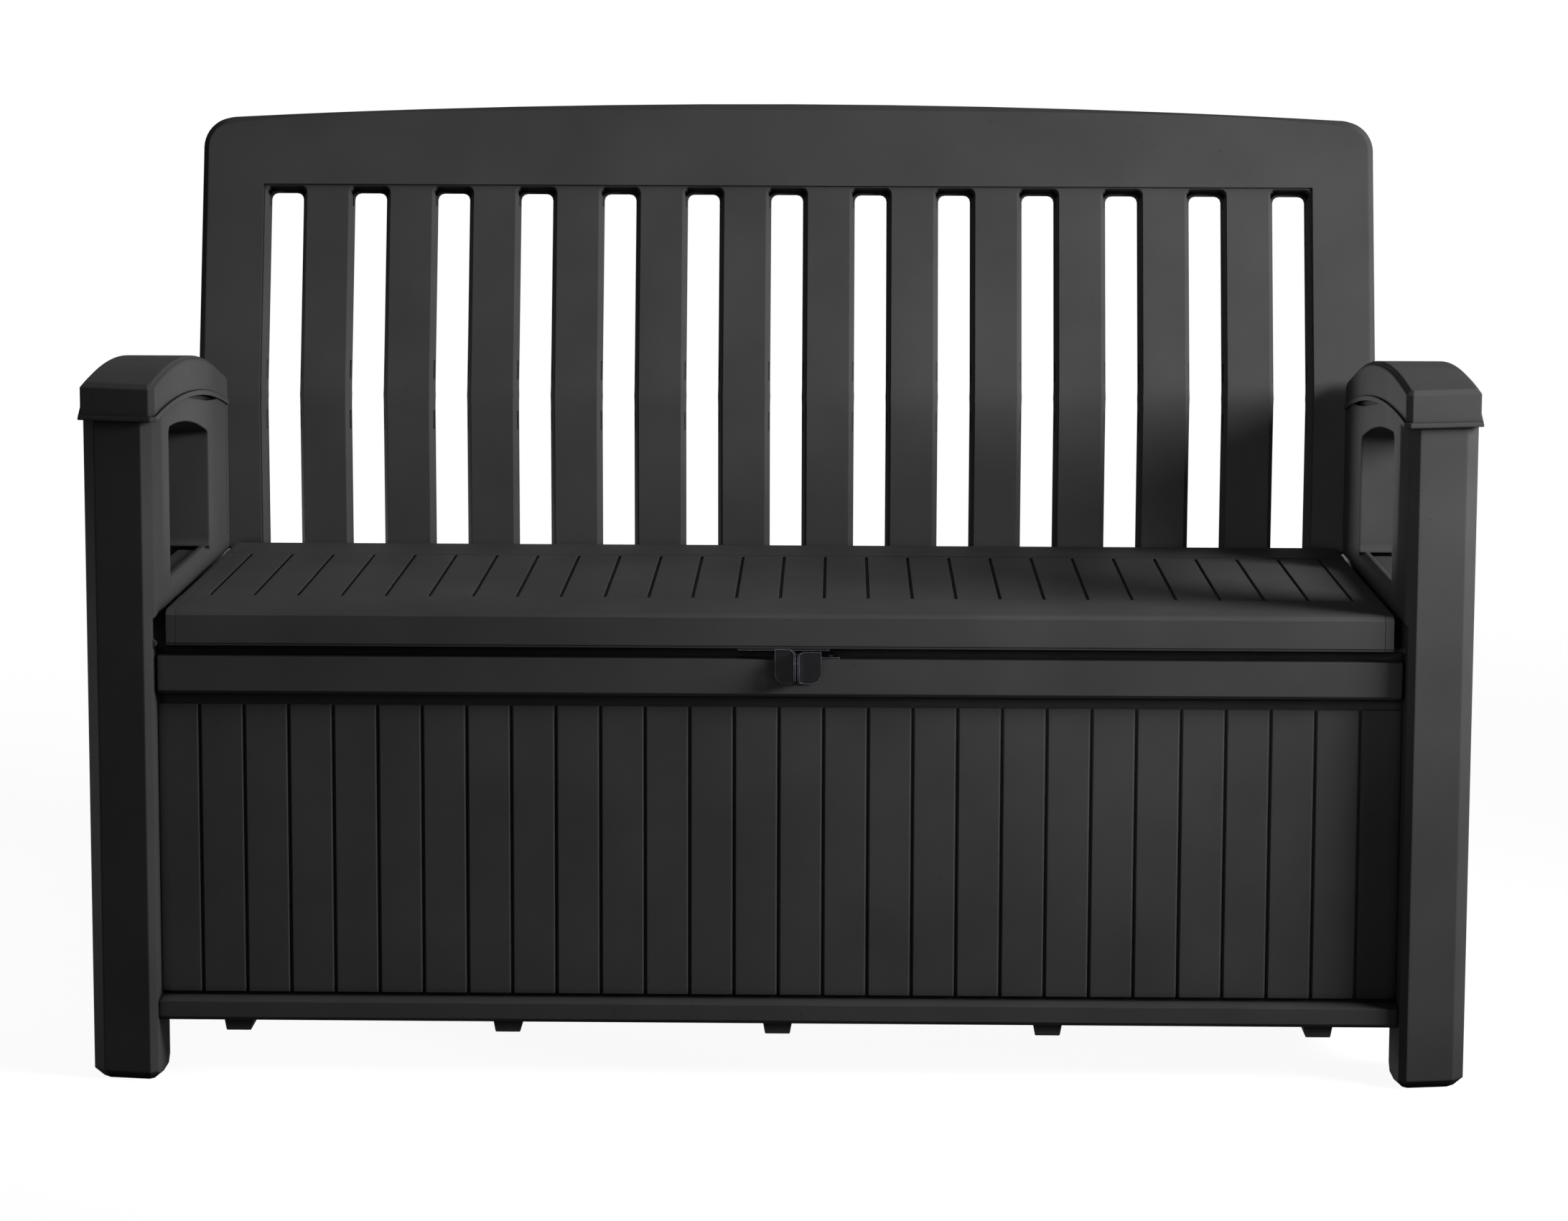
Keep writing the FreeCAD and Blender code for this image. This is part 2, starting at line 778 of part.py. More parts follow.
def front_panel():
    """Planked front in one profile: base rail, planks, top rail, lid support lip and floor ledge."""
    rail_bottom = box_top - rail_height
    plank_top = rail_bottom - shadow_gap
    base_top = box_bottom + base_rail_height
    shadow_face = plank_setback + groove_depth
    lip_front = front_inner - support_lip_thickness
    panel = along_x(
        -panel_half, panel_half,
        (base_rail_setback + base_rail_bevel, box_bottom),
        (base_rail_setback, box_bottom + base_rail_bevel),
        (base_rail_setback, base_top - base_rail_slope),
        (plank_setback, base_top),
        (shadow_face, base_top),
        (shadow_face, base_top + plank_foot_gap),
        (plank_setback, base_top + plank_foot_gap),
        (plank_setback, plank_top),
        (shadow_face, plank_top),
        (shadow_face, rail_bottom),
        (rail_setback + rail_bevel, rail_bottom),
        (rail_setback, rail_bottom + rail_bevel),
        (rail_setback, box_top),
        (lip_front, box_top),
        (lip_front, lid_bottom - seat_clearance),
        (front_inner, lid_bottom - seat_clearance),
        (front_inner, box_top - rail_wall),
        (rail_setback + rail_wall, box_top - rail_wall),
        (rail_setback + rail_wall, rail_bottom + rail_wall),
        (front_inner, rail_bottom + rail_wall),
        (front_inner, floor_bottom),
        (front_inner + ledge_width, floor_bottom),
        (front_inner + ledge_width, box_bottom),
        (plank_setback, box_bottom),
        (plank_setback, base_top - rail_wall - base_rail_slope),
        (base_rail_setback + rail_wall, base_top - rail_wall - base_rail_slope),
        (base_rail_setback + rail_wall, box_bottom),
    )
    tongue = front_tongue(0)
    rail_end = box(panel_half - rail_end_gap, panel_half + past,
                   rail_setback - past, plank_setback - rail_wall, rail_bottom - past, box_top + past)
    panel = panel.cut([rail_end, mirrored(rail_end)])
    panel = fused(panel, tongue, mirrored(tongue))
    return panel.cut(front_grooves() + panel_hasp_holes())


def rear_tongue(clearance):
    """Tongue at the rear panel's right end, or its slot when clearance is added."""
    middle = (rear_inner + rear_outer) / 2
    return box(panel_half - past, box_half + tongue_length + clearance,
               middle - tongue_thickness / 2 - clearance, middle + tongue_thickness / 2 + clearance,
               box_bottom + base_rail_height - clearance, box_top - rail_height + clearance)


def rear_panel():
    """Planked rear wall with a thicker top rail for the hinges and a ledge for the floor."""
    rail_inner = rear_outer - rear_rail_thickness
    panel = along_x(
        -panel_half, panel_half,
        (rear_outer, box_bottom),
        (rear_outer, box_top),
        (rail_inner, box_top),
        (rail_inner, box_top - rear_rail_height),
        (rear_inner, box_top - rear_rail_height - (rear_rail_thickness - rear_wall)),
        (rear_inner, floor_bottom),
        (rear_inner - ledge_width, floor_bottom),
        (rear_inner - ledge_width, box_bottom),
    )
    grooves = []
    for x in groove_places:
        grooves.append(along_z(
            box_bottom - past, back_foot - apron_height - groove_width,
            (x - groove_width / 2, rear_outer + past),
            (x - groove_width / 2, rear_outer),
            (x, rear_outer - groove_depth),
            (x + groove_width / 2, rear_outer),
            (x + groove_width / 2, rear_outer + past),
        ))
    tongue = rear_tongue(0)
    panel = fused(panel, tongue, mirrored(tongue))
    return panel.cut(grooves + hinge_screw_holes() + back_screw_holes())


def runner_outline(x, inset, top, bottom):
    """Tapered section of a runner between two heights, drawn in by inset, as the points of an outline."""
    taper = (runner_top_width - runner_foot_width) / 2 / runner_height
    top_half = runner_top_width / 2 - inset - taper * (floor_bottom - top)
    bottom_half = runner_top_width / 2 - inset - taper * (floor_bottom - bottom)
    return ((x - top_half, top), (x + top_half, top), (x + bottom_half, bottom), (x - bottom_half, bottom))


def floor_panel():
    """Floor plate on the panels' ledges, with channelled runners that hook under the front panel."""
    plate = box(-panel_half, panel_half, front_inner + seat_clearance, rear_inner - seat_clearance,
                floor_bottom, floor_top)
    runner_front = front_inner + ledge_width + runner_end_gap
    runner_rear = rear_inner - ledge_width - runner_end_gap
    runner_bottom = floor_bottom - runner_height
    runners = []
    channels = []
    for index in range(runner_count):
        x = (index - (runner_count - 1) / 2) * runner_pitch
        section = runner_outline(x, 0, floor_bottom, runner_bottom)
        hook = runner_outline(x, 0, box_bottom - seat_clearance, runner_bottom)
        channel = runner_outline(x, runner_wall, floor_bottom, runner_bottom - past)
        runners.append(along_y(runner_front, runner_rear, *section))
        runners.append(along_y(runner_setback, runner_front, *hook))
        channels.append(along_y(runner_front + runner_wall, runner_rear - runner_wall, *channel))
    return fused(plate, *runners).cut(channels)


# Backrest

def back_angles():
    """Lean of the backrest's lower and upper halves, from upright, in radians."""
    lower = math.atan2(back_gap_at_crease - back_gap_at_seat, crease_z - back_foot)
    upper = math.atan2(back_gap_at_top - back_gap_at_crease, back_top - crease_z)
    return lower, upper


def back_point(along, depth):
    """Depth and height of a point at a distance along from the crease and depth behind the front."""
    lower, upper = back_angles()
    if along == 0:
        middle = (lower + upper) / 2
        reach = depth / math.cos((upper - lower) / 2)
        return crease_y + reach * math.cos(middle), crease_z - reach * math.sin(middle)
    lean = upper if along > 0 else lower
    y = crease_y + along * math.sin(lean) + depth * math.cos(lean)
    z = crease_z + along * math.cos(lean) - depth * math.sin(lean)
    return y, z


def back_slab(near_depth, far_depth, x0, x1):
    """Slab that follows the backrest's bend between two depths, well past its top and bottom."""
    low = -(crease_z - back_foot) - apron_height - beyond
    high = back_top - crease_z + beyond
    slab = along_x(
        x0, x1,
        back_point(low, near_depth),
        back_point(0, near_depth),
        back_point(high, near_depth),
        back_point(high, far_depth),
        back_point(0, far_depth),
        back_point(low, far_depth),
    )
    for depth in (near_depth, far_depth):
        y, z = back_point(0, depth)
        bend = [edge for edge in slab.Edges if near(edge.Length, x1 - x0)
                and near(edge.CenterOfMass.y, y) and near(edge.CenterOfMass.z, z)]
        slab = slab.makeFillet(back_crease_radius - depth, bend)
    return slab


def back_outline(y0, y1, foot, inset):
    """Backrest's front outline with its arched top and round upper corners, drawn in by inset."""
    half = back_width / 2 - inset
    corner = back_corner_radius - inset
    shoulder = back_top - back_crown - inset
    crown = back_top - inset
    block = along_y(
        y0, y1,
        (-half, foot),
        (-half, shoulder),
        ((0, crown), (half, shoulder)),
        (half, foot),
    )
    corners = [edge for edge in block.Edges if near(edge.Length, y1 - y0)
               and near(edge.CenterOfMass.z, shoulder)]
    return block.makeFillet(corner, corners)


def bar_cutter(left, right, near_depth, far_depth, low, high, high_slope, corner=0.0):
    """Cutter that follows the bend: left and right give its sides at a depth, and high its top in front.
    The top moves by high_slope with depth, and its two upper corners are rounded in steps to corner."""
    stations = [(low, 0.0, 0.0), (0.0, 0.0, 0.0)]
    steps = gap_corner_steps if corner else 0
    for step in range(steps + 1):
        turn = math.pi / 2 * (step / steps if steps else 1.0)
        stations.append((high - corner * (1 - math.sin(turn)), high_slope, corner * (1 - math.cos(turn))))
    sections = []
    for along, slope, inset in stations:
        corners = []
        for depth in (near_depth, far_depth):
            y, z = back_point(along - slope * depth, depth)
            ends = [vector(left(depth) + inset, y, z), vector(right(depth) - inset, y, z)]
            corners.extend(ends if depth == near_depth else reversed(ends))
        sections.append(Part.makePolygon(corners + corners[:1]))
    return Part.makeLoft(sections, True, True)


def gap_edges():
    """Left and right front edges of each opening between the slats and stiles."""
    first = -(slat_count - 1) / 2 * slat_pitch
    centres = [first + index * slat_pitch for index in range(slat_count)]
    lefts = [-opening_half] + [x + slat_width / 2 for x in centres]
    rights = [x - slat_width / 2 for x in centres] + [opening_half]
    return list(zip(lefts, rights))


def slat_edges():
    gaps = gap_edges()
    return [(gaps[index][1], gaps[index + 1][0]) for index in range(slat_count)]


def opening_top():
    """Top of the openings, along the front from the crease."""
    upper = back_angles()[1]
    return (seat_height + back_opening_rise - crease_z) / math.cos(upper)


def gap_cutters(front):
    """Cutters for the gaps: they narrow from each face of the backrest to the joint between its shells."""
    slope = slat_draft / back_shell_depth
    low = back_foot - crease_z
    face = 0.0 if front else back_depth
    start = -past if front else back_shell_depth - past
    end = back_shell_depth + past if front else back_depth + past
    high = opening_top() if front else opening_top() - slope * back_depth
    high_slope = slope if front else -slope
    cutters = []
    for left_edge, right_edge in gap_edges():
        cutters.append(bar_cutter(
            lambda depth: left_edge + slope * abs(depth - face),
            lambda depth: right_edge - slope * abs(depth - face),
            start, end, low, high, high_slope, gap_corner_radius))
    return cutters


def shell_hollows(near_depth, far_depth, draft_from):
    """Hollows of the slats, the stiles and the top rail inside one shell."""
    slope = slat_draft / back_shell_depth
    low = back_foot - crease_z + back_shell_wall
    high = opening_top()
    wall = back_shell_wall
    hollows = []
    for left_edge, right_edge in slat_edges():
        hollows.append(bar_cutter(
            lambda depth: left_edge + wall - slope * abs(depth - draft_from),
            lambda depth: right_edge - wall + slope * abs(depth - draft_from),
            near_depth, far_depth, low, high, 0.0))
    stile_left = opening_half + wall
    stile_right = back_width / 2 - back_edge_bevel - wall
    for sign in (-1, 1):
        ends = sorted((sign * stile_left, sign * stile_right))
        hollows.append(bar_cutter(lambda depth: ends[0], lambda depth: ends[1],
                                  near_depth, far_depth, low, high, 0.0))
    top_block = back_slab(near_depth, far_depth, -back_width, back_width).common(
        back_outline(back_zone_front, back_zone_rear, seat_height + back_opening_rise + wall,
                     back_edge_bevel + wall))
    return hollows + [top_block]


def backrest_front_shell():
    """Front half of the backrest: frame, recessed slats and the apron that is screwed to the box."""
    apron_half = box_half - apron_side_gap
    slab = back_slab(0.0, back_shell_depth, -back_width, back_width)
    shell = slab.common(back_outline(back_zone_front, back_zone_rear, back_foot, 0.0))
    shell = shell.makeChamfer(back_edge_bevel, outer_edges(shell, 0.0))
    apron = back_slab(0.0, apron_thickness, -apron_half, apron_half).common(
        box(-apron_half, apron_half, back_zone_front, back_zone_rear,
            back_foot - apron_height, back_foot + back_shell_wall))
    shell = fused(shell, apron)
    recess = back_slab(-past, slat_recess, -opening_half, opening_half).common(
        box(-opening_half, opening_half, back_zone_front, back_zone_rear,
            back_foot, seat_height + back_opening_rise))
    hollows = shell_hollows(slat_recess + back_shell_wall, back_shell_depth + past, 0.0)
    return shell.cut([recess] + gap_cutters(True) + hollows + back_screw_holes())


def outer_edges(shell, depth):
    """Edges of the backrest's sides and top that lie on its face at a depth."""
    chosen = []
    for edge in shell.Edges:
        middle = edge.valueAt((edge.FirstParameter + edge.LastParameter) / 2)
        outer = abs(middle.x) > back_width / 2 - back_corner_radius or middle.z > back_top - 2 * back_crown
        if outer and on_face(middle, depth) and middle.z > back_foot + past:
            chosen.append(edge)
    return chosen


def on_face(point, depth):
    """Whether a point lies on the backrest's bent face at a depth; the rounding of the bend counts too."""
    lower, upper = back_angles()
    behind = []
    for lean in (lower, upper):
        behind.append((point.y - crease_y) * math.cos(lean) - (point.z - crease_z) * math.sin(lean))
    rounding = (back_crease_radius - depth) * (1 / math.cos((upper - lower) / 2) - 1)
    return depth - tolerance < min(behind) < depth + rounding + tolerance


def backrest_rear_shell():
    """Rear half of the backrest, with the tenons that stand in the rear posts."""
    slab = back_slab(back_shell_depth, back_depth, -back_width, back_width)
    shell = slab.common(back_outline(back_zone_front, back_zone_rear, back_foot, 0.0))
    shell = shell.makeChamfer(back_edge_bevel, outer_edges(shell, back_depth))
    hollows = shell_hollows(back_shell_depth - past, back_depth - back_shell_wall, back_depth)
    shell = shell.cut(gap_cutters(False) + hollows)
    tenon = tenon_box(0)
    return fused(shell, tenon, mirrored(tenon))


def back_screw_seats():
    """Places inside the box where screws pass through its rear rail into the backrest's apron."""
    y = rear_outer - rear_rail_thickness
    z = box_top - rear_rail_height / 2
    inner = hinge_spacing / 2
    outer = panel_half - back_screw_inset
    return [vector(x, y, z) for x in (-outer, -inner, inner, outer)]


def back_screw_holes():
    return screw_holes(back_screw_seats(), vector(0, 1, 0), back_screw_length)


def backrest_screws():
    return screws(back_screw_seats(), vector(0, 1, 0), back_screw_length)


# Hinges

def hinge_bracket(x):
    """Bracket on the box's rear rail with two ears that carry the hinge pin."""
    rail_inner = rear_outer - rear_rail_thickness
    plate_front = rail_inner - hinge_plate_thickness
    plate_top = box_top - hinge_plate_drop
    plate_bottom = plate_top - hinge_plate_height
    plate = box(x - hinge_plate_width / 2, x + hinge_plate_width / 2, plate_front, rail_inner,
                plate_bottom, plate_top)
    ears = []
    for low in hinge_ear_places(x):
        ears.append(along_x(
            low, low + hinge_ear_width,
            (plate_front, plate_bottom),
            (plate_front, plate_top),
            (hinge_y + knuckle_reach, lid_bottom),
            (hinge_y + knuckle_reach, hinge_z + knuckle_flat),
            (hinge_y + knuckle_flat, hinge_z + knuckle_reach),
            (hinge_y - knuckle_flat, hinge_z + knuckle_reach),
            (hinge_y - knuckle_reach, hinge_z + knuckle_flat),
            (hinge_y - knuckle_reach, plate_top),
        ))
    bracket = fused(plate, *ears)
    bore = cylinder(hinge_pin_radius + running_clearance, hinge_plate_width + 2 * past,
                    vector(x - hinge_plate_width / 2 - past, hinge_y, hinge_z), vector(1, 0, 0))
    return bracket.cut([bore] + hinge_screw_holes())


def hinge_ear_places(x):
    """Lower x of the two ears beside the lid's lug."""
    half = hinge_lug_width / 2 + hinge_side_gap
    return (x - half - hinge_ear_width, x + half)


def hinge_pin(x):
    """Headed pin through both ears and the lid's lug."""
    low, high = hinge_ear_places(x)
    start = low - hinge_side_gap
    length = high + hinge_ear_width - start + hinge_pin_overrun
    shaft = cylinder(hinge_pin_radius, length, vector(start, hinge_y, hinge_z), vector(1, 0, 0))
    side = hinge_pin_head
    head = box(start - hinge_pin_overrun, start, hinge_y - side, hinge_y + side,
               hinge_z - side, hinge_z + side)
    head = head.makeChamfer(side / 2, [edge for edge in head.Edges if near(edge.Length, hinge_pin_overrun)])
    return fused(shaft, head)


def hinge_screw_seats():
    y = rear_outer - rear_rail_thickness - hinge_plate_thickness
    z = box_top - hinge_plate_drop - hinge_plate_height / 2
    offset = hinge_ear_width / 2
    return [vector(x + side, y, z) for x in hinge_places for side in (-offset, offset)]


def hinge_screw_holes():
    return screw_holes(hinge_screw_seats(), vector(0, 1, 0), hinge_screw_length)


def hinge_screws():
    return screws(hinge_screw_seats(), vector(0, 1, 0), hinge_screw_length)


# Hasp

def hasp_hole_y():
    return rail_setback - hasp_metal - hasp_hole_reach


def hasp_hole_z():
    return lid_bottom - hasp_metal - hasp_tab_drop / 2


def hasp_eye(x0, x1):
    """Forward flange with the padlock hole, between two x places."""
    bottom = lid_bottom - hasp_metal - hasp_tab_drop + hasp_eye_lift
    top = box_top + lid_gap / 2
    flange = box(x0, x1, rail_setback - hasp_reach, rail_setback, bottom, top)
    front = edges_where(flange, lambda point: near(point.y, rail_setback - hasp_reach))
    rounded = [edge for edge in front if near(edge.Length, x1 - x0)]
    flange = flange.makeFillet(hasp_corner_radius / 2, rounded)
    hole = cylinder(padlock_hole_radius, x1 - x0 + 2 * past,
                    vector(x0 - past, hasp_hole_y(), hasp_hole_z()), vector(1, 0, 0))
    return flange.cut(hole)


def hasp_tab(x0, x1, y0, y1, top, round_x):
    """Flat tab down the front of the rail with one round lower corner."""
    bottom = lid_bottom - hasp_metal - hasp_tab_drop
    tab = box(x0, x1, y0, y1, bottom, top)
    corner = edges_where(tab, lambda point: near(point.z, bottom) and near(point.x, round_x))
    return tab.makeFillet(hasp_corner_radius, corner)


def lid_hasp():
    """Bracket under the lid's front edge: strip, hanging tab and padlock flange."""
    strip = box(hasp_strip_left(), hasp_strip_left() + hasp_strip_width, hasp_strip_setback,
                hasp_strip_setback + hasp_strip_depth, lid_bottom - hasp_metal, lid_bottom)
    right = hasp_centre_x - hasp_flange_gap / 2
    left = right - hasp_left_width
    tab_front = hasp_strip_setback
    tab = hasp_tab(left, right, tab_front, tab_front + hasp_metal, lid_bottom - hasp_metal, left)
    eye = hasp_eye(right - hasp_metal, right)
    trim = box(left, right, tab_front + hasp_metal, rail_setback + past, 0, lid_bottom - hasp_metal)
    return fused(strip, tab, eye.cut(trim)).cut(lid_hasp_holes())


def hasp_strip_left():
    return hasp_centre_x - hasp_strip_width / 2 - hasp_strip_offset


def panel_hasp():
    """Bracket on the box's top rail: plate on the rail, tab over its front and padlock flange."""
    left = hasp_centre_x + hasp_flange_gap / 2
    right = left + hasp_right_width
    tab = hasp_tab(left, right, rail_setback - hasp_metal, rail_setback, box_top + hasp_metal, right)
    plate_front = rail_setback - hasp_metal
    plate = box(left, left + hasp_plate_width, plate_front, plate_front + hasp_plate_depth,
                box_top, box_top + hasp_metal)
    eye = hasp_eye(left, left + hasp_metal)
    return fused(tab, plate, eye).cut(panel_hasp_holes())


def lid_hasp_seats():
    left = hasp_strip_left() + hasp_screw_inset
    right = hasp_strip_left() + hasp_strip_width - hasp_screw_inset
    y = hasp_strip_setback + hasp_strip_depth - 2 * screw_head_radius
    return [vector(x, y, lid_bottom - hasp_metal) for x in (left, right)]


def lid_hasp_holes():
    return screw_holes(lid_hasp_seats(), vector(0, 0, 1), hasp_screw_length)


def lid_hasp_screws():
    return screws(lid_hasp_seats(), vector(0, 0, 1), hasp_screw_length)


def panel_hasp_seats():
    left = hasp_centre_x + hasp_flange_gap / 2 + hasp_screw_inset
    right = hasp_centre_x + hasp_flange_gap / 2 + hasp_plate_width - hasp_screw_inset
    y = rail_setback + hasp_plate_depth / 2
    return [vector(x, y, box_top + hasp_metal) for x in (left, right)]


def panel_hasp_holes():
    return screw_holes(panel_hasp_seats(), vector(0, 0, -1), hasp_screw_length)


def panel_hasp_screws():
    return screws(panel_hasp_seats(), vector(0, 0, -1), hasp_screw_length)


def all_pieces():
    """Every piece of the bench by name, with depths still measured from the lid's front edge."""
    right_frame = side_frame()
    right_cap = arm_cap()
    right_end = lid_end_cap()
    pieces = {
        "left_side_frame": mirrored(right_frame),
        "right_side_frame": right_frame,
        "left_arm_cap": mirrored(right_cap),
        "right_arm_cap": right_cap,
        "front_panel": front_panel(),
        "rear_panel": rear_panel(),
        "floor_panel": floor_panel(),
        "backrest_front_shell": backrest_front_shell(),
        "backrest_rear_shell": backrest_rear_shell(),
        "backrest_screws": backrest_screws(),
        "hinge_screws": hinge_screws(),
        "panel_hasp": panel_hasp(),
        "panel_hasp_screws": panel_hasp_screws(),
        "lid_seat_panel": lid_seat_panel(),
        "lid_underside_panel": lid_underside_panel(),
        "left_lid_end_cap": mirrored(right_end),
        "right_lid_end_cap": right_end,
        "front_lid_stiffener": lid_stiffener(stiffener_inset),
        "rear_lid_stiffener": lid_stiffener(lid_hollow_rear - stiffener_inset - stiffener_width),
        "lid_hasp": lid_hasp(),
        "lid_hasp_screws": lid_hasp_screws(),
    }
    for side, x in zip(("left", "centre", "right"), hinge_places):
        pieces[side + "_hinge_bracket"] = hinge_bracket(x)
        pieces[side + "_hinge_pin"] = hinge_pin(x)
    return pieces


def main():
    pieces = all_pieces()
    whole = Part.makeCompound(list(pieces.values())).optimalBoundingBox()
    to_origin = vector(0, -(whole.YMin + whole.YMax) / 2, 0)
    os.makedirs("parts", exist_ok=True)
    for name, shape in pieces.items():
        shape.translate(to_origin)
        shape.exportStep("parts/" + name + ".step")
        print(name, "solids", len(shape.Solids), "valid", shape.isValid())
    print("box", whole.XLength, whole.YLength, whole.ZLength, "moved", to_origin.y)


main()
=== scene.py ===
import bpy
import json
import math
from mathutils import Matrix, Vector


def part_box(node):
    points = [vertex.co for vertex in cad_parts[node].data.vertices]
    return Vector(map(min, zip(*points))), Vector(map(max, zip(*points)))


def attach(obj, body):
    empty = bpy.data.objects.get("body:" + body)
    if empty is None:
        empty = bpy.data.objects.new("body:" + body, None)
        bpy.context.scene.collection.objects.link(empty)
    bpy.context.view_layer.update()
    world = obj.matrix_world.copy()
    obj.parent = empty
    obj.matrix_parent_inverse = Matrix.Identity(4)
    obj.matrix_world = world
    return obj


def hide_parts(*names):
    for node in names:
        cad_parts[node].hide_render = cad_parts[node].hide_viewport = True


# Looks of the garden storage bench: charcoal moulded resin with a gloss black hasp and plated steel.
# Metres, in the same frame as the construction: X along the seat, Y to the back, Z up from the ground.

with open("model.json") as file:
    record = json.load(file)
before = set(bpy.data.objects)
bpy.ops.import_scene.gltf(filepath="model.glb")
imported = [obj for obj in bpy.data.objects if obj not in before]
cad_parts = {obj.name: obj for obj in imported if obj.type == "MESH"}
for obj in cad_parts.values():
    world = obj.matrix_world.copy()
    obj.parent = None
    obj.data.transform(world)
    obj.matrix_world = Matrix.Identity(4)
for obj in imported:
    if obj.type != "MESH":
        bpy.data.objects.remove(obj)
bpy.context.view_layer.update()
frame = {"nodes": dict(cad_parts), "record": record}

MM = 0.001
WHITE = (1.0, 1.0, 1.0, 1.0)

# Camera, fitted to the photograph
CAMERA_PLACE = (0.0587, -4.1362, 1.109)
CAMERA_YAW = math.radians(0.80)
CAMERA_PITCH = math.radians(6.94)
CAMERA_ROLL = math.radians(0.19)
CAMERA_LENS = 90.0
CAMERA_SENSOR = 36.0
CAMERA_SHIFT_Y = -0.1
CAMERA_CLIP = 0.05

# Studio: the floor's glow rises to full white between a near and a far distance from the bench
WORLD_FILL = 0.025
FLOOR_SIZE = 14.0
FLOOR_COLOUR = (0.15, 0.15, 0.15, 1.0)
FLOOR_GLOW = 0.93
FLOOR_NEAR = 1.0
FLOOR_FAR = 3.0

# Tones and roughness change over the middle of a noise, between these two levels
NOISE_LOW = 0.3
NOISE_HIGH = 0.7

# Moulded resin, with the scales of its noises in counts per metre
CLOUD_SCALE = 9.0
CLOUD_DETAIL = 4.0
GRAIN_SCALE = 1300.0
GRAIN_DETAIL = 3.0
GRAIN_STRENGTH = 0.25
WAVE_SCALE = 38.0
WAVE_DETAIL = 1.0
WAVE_STRENGTH = 0.12
WAVE_DEPTH = 0.6 * MM
SPECK_SCALE = 42.0
SPECK_CORE = 0.022
SPECK_RIM = 0.036
SPECK_TONE = 0.4
# Painted shade: the resin's colour darkens in seams, narrow gaps and corners where other surfaces come close
PAINTED_SHADE_REACH = 12.0 * MM
PAINTED_SHADE_CLOSED = 0.35
PAINTED_SHADE_OPEN = 0.85
PAINTED_SHADE_TONE = 0.1
PAINTED_SHADE_SAMPLES = 4
RESIN_SPECULAR = 0.003

# Soft look of the resin's edges, and where the arms begin on each side of the middle
CRISP_EDGE = 0.8 * MM
ARM_EDGE = 3.0 * MM
ARM_START = 0.616
ARM_BLEND = 1.0 * MM
SOFT_EDGE_SAMPLES = 4

# Gloss black coating of the hasp, and the painted highlight that lightens its colour along the edges
COATING_CLOUD_SCALE = 60.0
COATING_POLISH_SCALE = 220.0
COATING_ROUGH_LOW = 0.22
COATING_ROUGH_HIGH = 0.34
COATING_SPECULAR = 0.05
COATING_GLOSS = 0.12
COATING_GLOSS_ROUGHNESS = 0.12
PEEL_SCALE = 420.0
PEEL_STRENGTH = 0.15
PEEL_DEPTH = 0.1 * MM
EDGE_HIGHLIGHT_RADIUS = 1.2 * MM
EDGE_HIGHLIGHT_GAIN = 30.0
EDGE_HIGHLIGHT_TURNED = 0.8
EDGE_HIGHLIGHT_FLAT = 0.98
EDGE_HIGHLIGHT_SAMPLES = 8

# Plated and galvanised steel
PLATING_CLOUD_SCALE = 180.0
PLATING_CLOUD_DETAIL = 4.0
PLATING_POLISH_SCALE = 500.0
SCRATCH_SCALE = 1500.0
SCRATCH_STRENGTH = 0.1
SCRATCH_DEPTH = 0.05 * MM
SPANGLE_SCALE = 130.0
SPANGLE_ROUGH_LOW = 0.35
SPANGLE_ROUGH_HIGH = 0.5

# Edges that are rounded in the shape itself
EDGE_WIDTH = 1.0 * MM
WIDE_EDGES = {
    "backrest_front_shell": 2.0 * MM,
    "backrest_rear_shell": 2.0 * MM,
    "left_arm_cap": 2.0 * MM,
    "right_arm_cap": 2.0 * MM,
    "left_side_frame": 1.5 * MM,
    "right_side_frame": 1.5 * MM,
}
EDGE_SEGMENTS = 2
EDGE_ANGLE = math.radians(20)
FACET_MERGE = 0.01 * MM
FACE_WEIGHT = 100

# Snap slits in the sides of the backrest's slats, at the joint of its two shells
SLIT_HEIGHTS = (0.862, 0.672, 0.6165)
SLIT_TALL = 21.0 * MM
SLIT_WIDE = 4.6 * MM
SLIT_LONG = 47.0 * MM
SLIT_DEPTH = 15.7 * MM
GAP_COUNT = 13
GAP_PITCH = 93.4 * MM
CREASE_Y = 0.1908
CREASE_Z = 0.646
LOWER_LEAN = math.radians(-1.32)
UPPER_LEAN = math.radians(13.02)

# Hasp: two bent sheets whose inner edges curl forward into padlock eyes
HASP_METAL = 2.0 * MM
HASP_BEND = 5.0 * MM
HASP_CORNER = 11.0 * MM
HASP_EDGE = 0.5 * MM
HASP_EDGE_SEGMENTS = 3
HASP_EDGE_ANGLE = math.radians(35)
HASP_GAP = 1.8 * MM
HASP_MIDDLE = 18.3 * MM
HASP_ROWS = 8
LID_TAB_WIDTH = 21.1 * MM
LID_TAB_SETBACK = 16.0 * MM
LID_STRIP_DEPTH = 19.0 * MM
PANEL_TAB_WIDTH = 23.7 * MM
PANEL_TAB_SETBACK = 18.0 * MM
PANEL_TAB_RISE = 32.0 * MM
PANEL_PLATE_LOW = 24.0 * MM
PANEL_PLATE_SETBACK = 5.0 * MM
EYE_CORNER = 8.0 * MM
EYE_LIFT = 2.0 * MM
EYE_TOP = 30.0 * MM
EYE_RADIUS = 4.5 * MM
EYE_SETBACK = 6.0 * MM
EYE_RISE = 17.0 * MM
EYE_SIDES = 32
TAB_STEPS = 14
BEND_STEPS = 8
EYE_STEPS = 12


def add_node(tree, kind, settings=None, **values):
    """Adds a node with its settings and the values of its input sockets."""
    node = tree.nodes.new(kind)
    for key, value in (settings or {}).items():
        setattr(node, key, value)
    for key, value in values.items():
        node.inputs[key.replace("_", " ")].default_value = value
    return node


def place_socket(tree):
    """Socket with the place on the object, in metres."""
    return add_node(tree, "ShaderNodeTexCoord").outputs["Object"]


